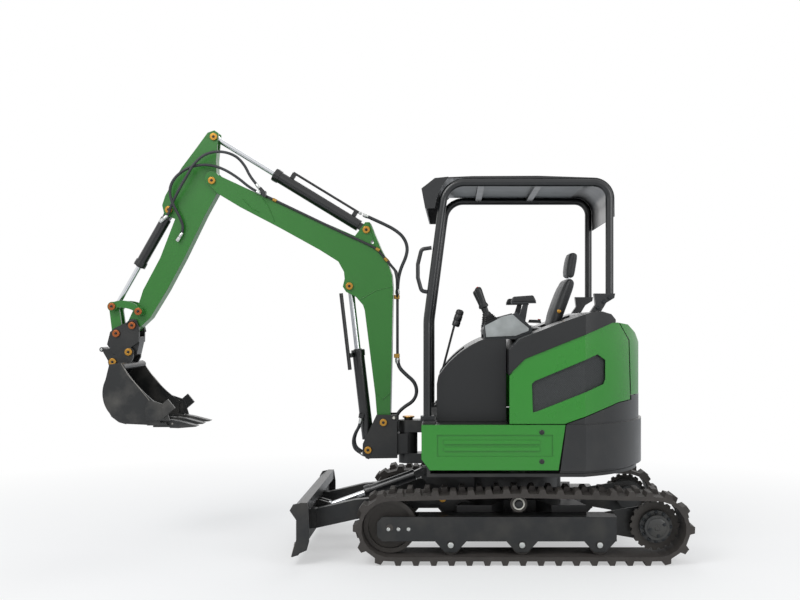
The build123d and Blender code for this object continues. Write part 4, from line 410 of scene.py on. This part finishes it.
# Chrome rods run in painted barrels, with a gland nut at each barrel's mouth. A wiper
# ring in each gland keeps dirt off the rod.
chrome = metal("hard_chrome_rod", "d8dadd", roughness=0.12)
dress(chrome, "blade_rod", "boom_rod", "arm_rod", "bucket_rod")
barrel_black = paint("cylinder_black_paint", "0c0e10", roughness=0.30, coat=0.3)
dress(barrel_black, "blade_cylinder", "boom_cylinder", "arm_cylinder", "bucket_cylinder")
wiper_black = rubber("rod_wiper_rubber", "0f1011", roughness=0.5)
CYLINDERS = [
    # name, base pin, rod pin, barrel radius, rod radius, barrel length, body, rod body
    ("blade", (0.250, 0.452), (-0.363, 0.232), 0.036, 0.018, 0.400, "blade_barrel", "blade_piston"),
    ("boom", (-0.103, 0.600), (-0.224, 1.643), 0.038, 0.020, 0.640, "boom_barrel", "boom_piston"),
    ("arm", (-0.116, 2.003), (-1.095, 2.600), 0.038, 0.017, 0.700, "arm_barrel", "arm_piston"),
    ("bucket", (-1.382, 2.133), (-1.735, 1.513), 0.034, 0.016, 0.414, "bucket_barrel", "bucket_piston"),
]
for name, base, end, barrel, rod, length, body, rod_body in CYLINDERS:
    run = Vector((end[0] - base[0], 0, end[1] - base[1])).normalized()
    mouth = Vector((base[0], 0, base[1])) + run * length
    nut = [(-0.034, barrel + 0.0055), (-0.006, barrel + 0.0065), (-0.003, barrel + 0.003), (0.0005, rod + 0.012)]
    lathe(f"{name}_gland_nut", nut, mouth, run, barrel_black, body, turns=36)
    lathe(f"{name}_wiper", [(0.0006, rod + 0.008), (0.004, rod + 0.007), (0.006, rod + 0.0012)], mouth, run,
          wiper_black, body, turns=32)
    for k in range(4):
        around = Matrix.Rotation(math.radians(90 * k + 45), 3, run) @ Vector((0, 1, 0))
        lathe(f"{name}_gland_slot_{k}", [(0.0, 0.0045), (0.0012, 0.004)], mouth - run * 0.018 + around * (barrel + 0.0058),
              around, bolt_steel, body, turns=12)

# House frame and its nose: thick plate in satin black, with the swing pin standing in
# the nose. Green steel side panels are pressed with ribs and hang on two plugs.
dress(chassis_black, "house_frame")
body_green = paint("body_green_paint", "258220", roughness=0.28, coat=0.3, dusty=0.02)
dress(body_green, "side_panel_left", "side_panel_right")
for sign, tag in ((-1, "left"), (1, "right")):
    for k, z in enumerate((0.7705, 0.5995)):
        lathe(f"panel_plug_{k}_{tag}", [(0.0, 0.015), (0.003, 0.015), (0.005, 0.012), (0.0055, 0.004)],
              (0.958, sign * 0.700, z), (0, sign, 0), cap_black, "house", turns=24)
lathe("swing_pin_cap", [(0.0, 0.036), (0.004, 0.038), (0.010, 0.038), (0.012, 0.030)], (0.150, 0, 0.798), (0, 0, 1),
      zinc_steel, "swing_post")

# Counterweight: cast iron round the tail, painted black, over the plain engine block.
# The block is hidden behind the covers.
cast_black = paint("counterweight_black_paint", "0d0f11", roughness=0.36, coat=0.3, dusty=0.06, edge=0.006)
dress(cast_black, "counterweight")
engine_iron = metal("engine_cast_iron", "55585a", roughness=0.5, metallic=0.6)
dress(engine_iron, "engine_block")

# Engine covers and the rear hood: green moulded sheet with woven wire behind the cooling
# windows, and a glossy black moulding over the top of the bay.
cover_green = paint("cover_green_paint", "258220", roughness=0.26, coat=0.35, dusty=0.01, edge=0.005)
dress(cover_green, "engine_cover_left", "engine_cover_right", "engine_hood")
moulding_black = paint("black_moulded_cap", "0c0e10", roughness=0.34, coat=0.2, edge=0.006)
dress(moulding_black, "engine_cap")

wire_mesh, tree = blank("woven_wire_mesh")
MESH_PITCH = 0.0072
spot = node(tree, "TexCoord")
turned = node(tree, "Mapping", {"Vector": spot.outputs["Object"]}, Rotation=(0, math.radians(45), 0))
split = node(tree, "SeparateXYZ", {"Vector": turned.outputs[0]})
weave = []
for axis in (0, 2):
    run = node(tree, "Math", {0: split.outputs[axis]}, operation="MULTIPLY")
    run.inputs[1].default_value = math.pi / MESH_PITCH
    wave = node(tree, "Math", {0: run.outputs[0]}, operation="SINE")
    weave.append(node(tree, "Math", {0: wave.outputs[0]}, operation="ABSOLUTE"))
# The cells between the wires are painted near black: painted shade of the engine bay seen through the openings, on an
# opaque sheet. The grey is the wire's own colour.
holes = node(tree, "Math", {0: weave[0].outputs[0], 1: weave[1].outputs[0]}, operation="MULTIPLY")
tone = node(tree, "ValToRGB", {"Fac": holes.outputs[0]})
tone.color_ramp.elements[0].position, tone.color_ramp.elements[1].position = 0.12, 0.34
tone.color_ramp.elements[0].color = linear("3b4042")
tone.color_ramp.elements[1].color = linear("050606")
bump = node(tree, "Bump", {"Height": holes.outputs[0]}, Strength=0.9, Distance=0.002)
bump.invert = True
skin = node(tree, "BsdfPrincipled", {"Base Color": tone.outputs[0], "Normal": bump.outputs[0]}, Roughness=0.5)
node(tree, "OutputMaterial", {"Surface": skin.outputs[0]})
dress(wire_mesh, "grilles")

lathe("hood_lock", [(0.0, 0.016), (0.004, 0.016), (0.006, 0.012), (0.006, 0.005)], (1.5905, 0.0, 1.150), (1, 0, 0),
      fitting_steel, "hood", turns=24)

# Deck: black plate with a ribbed rubber mat on it, in front of a painted seat base.
dress(chassis_black, "deck_plate")
mat_rubber = rubber("ribbed_mat_rubber", "1c1d1e", roughness=0.7)
dress(mat_rubber, "floor_mat")
dress(moulding_black, "seat_base")
RIB_PITCH = 0.024
for k in range(28):
    y = -0.648 + k * 2 * RIB_PITCH
    plate(f"mat_rib_{k}", [(0.272, 0.8265), (0.272, 0.8285), (0.330, 0.8285), (0.330, 0.8265)],
          y - 0.006, y + 0.006, mat_rubber, "house", round_by=0.0007, segments=1)


# Seat: foam in black vinyl, a welted seam round each pad and a stitched centre panel,
# with a folding backrest and a headrest on two posts.
def vinyl(name, colour):
    """Grained seat vinyl."""
    made, tree = blank(name)
    place = node(tree, "TexCoord")
    cells = node(tree, "TexVoronoi", {"Vector": place.outputs["Object"]}, Scale=650.0)
    bump = node(tree, "Bump", {"Height": cells.outputs["Distance"]}, Strength=0.25, Distance=0.0008)
    skin = node(tree, "BsdfPrincipled", {"Normal": bump.outputs[0]}, Base_Color=linear(colour), Roughness=0.46,
                IOR=1.5, Sheen_Weight=0.15)
    node(tree, "OutputMaterial", {"Surface": skin.outputs[0]})
    return made


seat_vinyl = vinyl("black_seat_vinyl", "17191b")
CUT = 26


def pad(name, solid, centre, right, up, face, half, thick, crown, seam, body="house"):
    """A stuffed pad: a rounded block whose face swells, with a welt groove round it."""
    work = bmesh.new()
    grid = []
    for back in (0, 1):
        rows = []
        for i in range(CUT + 1):
            row = []
            for j in range(CUT + 1):
                u, v = 2 * i / CUT - 1, 2 * j / CUT - 1
                edge = max(abs(u), abs(v))
                soft = (1 - abs(u) ** 5) * (1 - abs(v) ** 5)
                swell = crown * (1 - u * u) * (1 - v * v)
                groove = seam * math.exp(-(((edge - 0.72) / 0.028) ** 2))
                row.append((u, v, soft, swell, groove))
            rows.append(row)
        grid.append(rows)
    verts = []
    for back in (0, 1):
        rows = []
        for row in grid[back]:
            line = []
            for u, v, soft, swell, groove in row:
                corner = 1 - 0.035 * abs(u) ** 6 * abs(v) ** 6
                depth = thick * 0.5 * (0.25 + 0.75 * soft**0.35)
                depth = -depth if back else depth + swell - groove
                spot = Vector(centre) + Vector(right) * (u * half[0] * corner)
                spot += Vector(up) * (v * half[1] * corner) + Vector(face) * depth
                line.append(work.verts.new(spot))
            rows.append(line)
        verts.append(rows)
    for back in (0, 1):
        for i in range(CUT):
            for j in range(CUT):
                quad = [verts[back][i][j], verts[back][i + 1][j], verts[back][i + 1][j + 1], verts[back][i][j + 1]]
                work.faces.new(quad if not back else list(reversed(quad)))
    rim = [(i, 0) for i in range(CUT)] + [(CUT, j) for j in range(CUT)]
    rim += [(i, CUT) for i in range(CUT, 0, -1)] + [(0, j) for j in range(CUT, 0, -1)]
    for (i, j), (m, n) in zip(rim, rim[1:] + rim[:1]):
        work.faces.new((verts[0][i][j], verts[1][i][j], verts[1][m][n], verts[0][m][n]))
    bmesh.ops.recalc_face_normals(work, faces=work.faces)
    mesh = bpy.data.meshes.new(name)
    work.to_mesh(mesh)
    work.free()
    piece = place_piece(name, mesh, seat_vinyl, body)
    rounder = piece.modifiers.new("round", "SUBSURF")
    rounder.levels = rounder.render_levels = 1
    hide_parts(solid)
    return piece


pad("seat_cushion_pad", "seat_cushion", (0.825, 0, 1.350), (0, 1, 0), (1, 0, -0.03), (0.03, 0, 1),
    (0.238, 0.208), 0.074, 0.014, 0.006)
lean = Vector((0.108, 0, 0.292)).normalized()
pad("seat_back_pad", "seat_back", (1.122, 0, 1.527), (0, 1, 0), tuple(lean), (-lean.z, 0, lean.x),
    (0.228, 0.170), 0.074, 0.014, 0.006)
pad("headrest_pad", "headrest", (1.192, 0, 1.776), (0, 1, 0), (0.16, 0, 0.987), (-0.987, 0, 0.16),
    (0.128, 0.080), 0.060, 0.008, 0.003)
for side in (-0.066, 0.066):
    lathe(f"headrest_post_{'left' if side < 0 else 'right'}", [(0.0, 0.006), (0.110, 0.006)], (1.172, side, 1.640),
          (0.15, 0, 1), chrome, "house", turns=16)
lathe("recline_bolt", [(0.0, 0.013), (0.004, 0.013), (0.006, 0.010)], (1.100, -0.232, 1.480), (0, -1, 0),
      zinc_steel, "house", turns=24)

belt_black = rubber("seat_belt_webbing", "1a1b1d", roughness=0.8, scale=1800.0)
buckle_red = rubber("buckle_red_plastic", "b3231d", roughness=0.35)

BELT_RUN = [(0.640, 1.404), (0.690, 1.4085), (0.760, 1.4105), (0.850, 1.411), (0.940, 1.409), (1.000, 1.404)]
BELT_SPREAD = [(-0.205, -0.170), (-0.190, -0.150), (-0.165, -0.120), (-0.130, -0.085), (-0.085, -0.038), (-0.030, 0.010)]


def webbing(name, run, spread, thick, material, body):
    """A flat strap: a run of (x, z) points, each with its two edges in y."""
    work = bmesh.new()
    rows = []
    for (x, z), (low, high) in zip(run, spread):
        rows.append([work.verts.new(p) for p in ((x, low, z), (x, high, z), (x, high, z + thick), (x, low, z + thick))])
    for one, two in zip(rows, rows[1:]):
        for k in range(4):
            work.faces.new((one[k], one[(k + 1) % 4], two[(k + 1) % 4], two[k]))
    work.faces.new(rows[0])
    work.faces.new(list(reversed(rows[-1])))
    bmesh.ops.recalc_face_normals(work, faces=work.faces)
    mesh = bpy.data.meshes.new(name)
    work.to_mesh(mesh)
    work.free()
    piece = place_piece(name, mesh, material, body)
    mesh.set_sharp_from_angle(angle=math.radians(38))
    return piece


webbing("seat_belt", BELT_RUN, BELT_SPREAD, 0.0016, belt_black, "house")
plate("belt_buckle", [(0.905, 1.412), (0.912, 1.430), (0.982, 1.428), (0.988, 1.408)], -0.268, -0.242, cap_black, "house",
      round_by=0.004, segments=3)
plate("belt_release", [(0.965, 1.4285), (0.966, 1.434), (0.983, 1.432), (0.986, 1.426)], -0.266, -0.244, buckle_red,
      "house", round_by=0.002)

# Consoles each side of the seat: pale grey mouldings over a black base, with a padded
# armrest on a stem. The joystick stands on the console in a folded boot.
console_black = rubber("console_black_plastic", "1c2023", roughness=0.5, scale=700.0)
console_grey = rubber("console_grey_plastic", "9a9e9d", roughness=0.5, scale=700.0)
dress(console_black, "consoles")
GREY_PANEL = [(0.640, 1.322), (0.632, 1.392), (0.736, 1.446), (0.800, 1.462), (0.842, 1.424), (0.900, 1.376)]
GREY_PANEL += [(0.898, 1.360), (0.820, 1.330)]
for sign, tag in ((-1, "left"), (1, "right")):
    low, high = sorted((sign * 0.4235, sign * 0.431))
    plate(f"console_panel_{tag}", GREY_PANEL, low, high, console_grey, "house", round_by=0.003, segments=3)
    low, high = sorted((sign * 0.312, sign * 0.388))
    plate(f"armrest_pad_{tag}", [(0.792, 1.534), (0.806, 1.570), (0.930, 1.579), (0.950, 1.536)], low, high,
          seat_vinyl, "house", round_by=0.010, segments=4)

GRIP_RUN = Vector((-0.084, 0, 0.206)).normalized()
BOOT_PROFILE = [(-0.004, 0.044), (0.006, 0.045), (0.010, 0.036), (0.016, 0.040), (0.021, 0.031), (0.027, 0.035)]
BOOT_PROFILE += [(0.032, 0.026), (0.038, 0.029), (0.044, 0.020), (0.060, 0.016)]
GRIP_PROFILE = [(0.058, 0.011), (0.092, 0.012), (0.098, 0.022), (0.108, 0.0225), (0.122, 0.017), (0.150, 0.0185)]
GRIP_PROFILE += [(0.178, 0.0205), (0.202, 0.0225), (0.216, 0.0215), (0.225, 0.014)]
boot_rubber = rubber("joystick_boot_rubber", "121314", roughness=0.55)
for sign, tag in ((-1, "left"), (1, "right")):
    root = Vector((0.672, sign * 0.350, 1.418))
    made = lathe(f"joystick_boot_{tag}", BOOT_PROFILE, root, GRIP_RUN, boot_rubber, "house", turns=36)
    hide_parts("joysticks")
    lathe(f"joystick_grip_{tag}", GRIP_PROFILE, root, GRIP_RUN, cap_black, "house", turns=32)
    lathe(f"joystick_button_{tag}", [(0.0, 0.007), (0.004, 0.007), (0.005, 0.005)],
          root + GRIP_RUN * 0.2245, GRIP_RUN, buckle_red, "house", turns=16)

# Travel levers and pedals on the deck: bent steel bar with moulded grips, and cast
# pedals with ribbed rubber treads.
dress(chassis_black, "travel_levers", "pedals")
for side in (-0.070, 0.070):
    tag = "left" if side < 0 else "right"
    lathe(f"travel_grip_{tag}", [(0.0, 0.019), (0.006, 0.025), (0.030, 0.026), (0.036, 0.023), (0.042, 0.026),
                                 (0.072, 0.026), (0.078, 0.023), (0.084, 0.026), (0.104, 0.024), (0.112, 0.014)],
          (0.452, side, 1.386), (0.30, 0, 0.95), cap_black, "house", turns=28)
for side in (-0.150, 0.150):
    for k in range(5):
        x = 0.336 + 0.018 * k
        z = 0.894 + (x - 0.320) * 0.533
        plate(f"pedal_rib_{k}_{'left' if side < 0 else 'right'}",
              [(x - 0.004, z - 0.003), (x - 0.004, z + 0.004), (x + 0.004, z + 0.008), (x + 0.004, z + 0.001)],
              side - 0.037, side + 0.037, mat_rubber, "house", round_by=0.001)

# Canopy: bent round tube and a pressed roof, all in satin black, bolted to the deck and
# the tail. A grab handle of thinner tube is welded beside the left post.
canopy_black = paint("canopy_black_paint", "0c0f12", roughness=0.30, coat=0.35)
roof_grey = paint("roof_grey_paint", "50565a", roughness=0.42, coat=0.1)
dress(canopy_black, "canopy_frame_left", "canopy_frame_right", "grab_handle", "canopy_roof")
for sign, tag in ((-1, "left"), (1, "right")):
    for k, (x, z) in enumerate(((1.300, 1.500), (1.368, 1.560), (1.335, 1.535))):
        bolt(f"canopy_foot_bolt_{k}_{tag}", (x, sign * 0.5805, z), (0, sign, 0), 0.010, bolt_steel, "house")
ROOF_UNDER = [(0.440, 2.2722), (0.440, 2.2705), (1.250, 2.2705), (1.250, 2.2722)]
plate("roof_lining", ROOF_UNDER, -0.520, 0.520, roof_grey, "house", round_by=0.0004, segments=1)

# Swing bracket: a black casting on the swing pin that holds the boom's foot and the
# boom cylinder between its cheeks.
bracket_black = paint("bracket_black_paint", "101213", roughness=0.42, coat=0.15, dusty=0.12, edge=0.005)
dress(bracket_black, "swing_bracket")
pin_head("boom_foot_pin", (-0.005, 0.775), 0.113, "swing_post")
pin_head("boom_cylinder_pin", (-0.103, 0.600), 0.113, "swing_post")
for side in (-1, 1):
    lathe(f"swing_stop_{'left' if side < 0 else 'right'}", [(0.0, 0.009), (0.016, 0.009), (0.018, 0.007)],
          (0.062, side * 0.101, 0.805), (0, side, 0), seal_white, "swing_post", turns=20)

# Boom: a box beam of green plate bent like a swan's neck, with weld beads where the
# plates meet. Steel pipes run up its back under brass-coloured clamps.
boom_green = paint("boom_beam_green_paint", "226f1d", roughness=0.30, coat=0.25, dusty=0.02, edge=0.004)
dress(boom_green, "boom")


def bead(name, points, radius, material, body):
    """A weld bead along a line of points."""
    curve = bpy.data.curves.new(name, "CURVE")
    curve.dimensions = "3D"
    line = curve.splines.new("POLY")
    line.points.add(len(points) - 1)
    for spot, (x, y, z) in zip(line.points, points):
        spot.co = (x, y, z, 1)
    curve.bevel_depth = radius
    curve.bevel_resolution = 2
    curve.use_fill_caps = True
    curve.materials.append(material)
    piece = bpy.data.objects.new(name, curve)
    bpy.context.scene.collection.objects.link(piece)
    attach(piece, body)
    return piece


BOOM_SEAMS = [
    [(-0.054, 0.963), (-0.010, 0.918), (0.036, 0.963)],
    [(0.050, 1.640), (-0.055, 1.615), (-0.150, 1.560)],
    [(-0.905, 2.200), (-0.850, 2.140), (-0.800, 2.115)],
    [(-0.100, 2.045), (-0.060, 1.900), (-0.010, 1.830)],
    [(-0.780, 2.205), (-0.740, 2.150), (-0.700, 2.055)],
]
for k, seam in enumerate(BOOM_SEAMS):
    for side in (-1, 1):
        bead(f"boom_weld_{k}_{'left' if side < 0 else 'right'}", [(x, side * 0.0752, z) for x, z in seam], 0.0028,
             boom_green, "boom")
pin_head("boom_tip_pin", (-1.102, 2.317), 0.087, "boom")
pin_head("arm_cylinder_base_pin", (-0.116, 2.003), 0.087, "boom")
pin_head("boom_cylinder_rod_pin", (-0.224, 1.643), 0.087, "boom")
copper = metal("copper_tone_pin", "a5603a", roughness=0.32)

pipe_black = paint("pipe_black_paint", "1a1d1f", roughness=0.35, coat=0.2)
dress(pipe_black, "boom_pipes")
clamp_brass = metal("yellow_zinc_clamp", "a98543", roughness=0.36)
for k, z in enumerate((1.1965, 1.575)):
    plate(f"pipe_clamp_{k}", [(0.0575, z - 0.013), (0.0575, z + 0.013), (0.0925, z + 0.013), (0.0925, z - 0.013)],
          -0.0335, 0.0335, clamp_brass, "boom", round_by=0.003, segments=3)
SIDE_CLAMPS = [((-0.043, 1.876), (-0.83, 0.0, 0.55)), ((-0.700, 2.191), (-0.90, 0, 0.43)), ((0.010, 1.812), (-0.64, 0, 0.77))]
for k, ((x, z), run) in enumerate(SIDE_CLAMPS):
    for side in (-1, 1):
        tag = "left" if side < 0 else "right"
        along = Vector(run).normalized()
        lathe(f"side_clamp_{k}_{tag}", [(-0.014, 0.0088), (-0.013, 0.0112), (0.013, 0.0112), (0.014, 0.0088)],
              Vector((x, side * 0.0833, z)), along, clamp_brass, "boom", turns=24)

STUB = (Vector((-0.142, 0, 2.107)), Vector((-0.1681, 0, 2.1192)))
stub_run = STUB[1] - STUB[0]
lathe("arm_cylinder_elbow", [(0.010, 0.0095), (0.016, 0.0095), (0.017, 0.0125), (0.024, 0.0125), (0.025, 0.0085),
                             (0.032, 0.0085)], STUB[0], stub_run, fitting_steel, "arm_barrel", turns=6)

# Arm: a tapered green box beam. The bucket cylinder stands in a bracket on its back, and
# hoses reach it at two ports.
dress(boom_green, "arm")
pin_head("arm_cylinder_rod_pin", (-1.095, 2.600), 0.064, "arm")
pin_head("bucket_cylinder_base_pin", (-1.382, 2.133), 0.064, "arm")
for k, (x, z) in enumerate(((-1.310, 1.955), (-1.412, 2.071))):
    run = ((-0.528, 0, -0.849), (-0.783, 0, -0.622))[k]
    lathe(f"arm_port_{k}", [(-0.001, 0.0105), (0.010, 0.0125), (0.026, 0.0125), (0.030, 0.010)],
          (x, (-0.0713, -0.0773)[k], z), run, fitting_steel, "arm", turns=6)

# Linkage: green rocker plates and link swing the black quick coupler, whose pins are
# copper coloured with a bolt across each.
dress(boom_green, "rocker", "bucket_link")
pin_head("rocker_pin", (-1.566, 1.481), 0.1046, "arm", material=copper)
pin_head("rocker_end_pin", (-1.735, 1.513), 0.104, "rocker", material=copper)
coupler_black = paint("coupler_black_paint", "0f1112", roughness=0.36, coat=0.25, dusty=0.08)
dress(coupler_black, "quick_coupler")
pin_head("arm_end_pin", (-1.611, 1.392), 0.088, "bucket", material=copper)
pin_head("coupler_link_pin", (-1.712, 1.341), 0.088, "bucket", material=copper)
RIDGE = [(-1.650, 1.398), (-1.636, 1.416), (-1.612, 1.424), (-1.588, 1.415), (-1.575, 1.392), (-1.566, 1.350)]
for side in (-1, 1):
    tag = "left" if side < 0 else "right"
    bead(f"coupler_ridge_{tag}", [(x, side * 0.0765, z) for x, z in RIDGE], 0.005, coupler_black, "bucket")
    lathe(f"coupler_screw_{tag}", [(0.0, 0.009), (0.008, 0.009), (0.010, 0.007)], (-1.8118, side * 0.0555, 1.238),
          (0, side, 0), fitting_steel, "bucket", turns=6)

# Bucket: rolled plate with a lip, three cast teeth and side cutters, painted black and
# worn to steel along its edges.
bucket_black = paint("bucket_black_paint", "131516", roughness=0.40, coat=0.15, dust="8a867e", dusty=0.35)
dress(bucket_black, "bucket")
pin_head("bucket_front_pin", (-1.627, 1.223), 0.110, "bucket")
pin_head("bucket_rear_pin", (-1.728, 1.160), 0.110, "bucket")
RIM = [(-1.385, 0.889), (-1.452, 0.922), (-1.535, 1.022), (-1.590, 1.085), (-1.632, 1.157)]
BELLY = [(-1.728, 1.040), (-1.732, 0.960), (-1.722, 0.885), (-1.690, 0.826), (-1.645, 0.792), (-1.600, 0.780)]
for side in (-1, 1):
    tag = "left" if side < 0 else "right"
    bead(f"bucket_worn_rim_{tag}", [(x, side * 0.2502, z) for x, z in RIM], 0.0022, worn_steel, "bucket")
    bead(f"bucket_seam_{tag}", [(x, side * 0.2465, z) for x, z in BELLY], 0.0042, bucket_black, "bucket")
TOOTH_YS = (-0.195, 0.0, 0.195)
for k, y in enumerate(TOOTH_YS):
    for side in (-1, 1):
        lathe(f"tooth_pin_{k}_{'left' if side < 0 else 'right'}", [(0.0, 0.007), (0.002, 0.007), (0.003, 0.005)],
              (-1.318, y + side * 0.0331, 0.779), (0, side, 0), worn_steel, "bucket", turns=16)
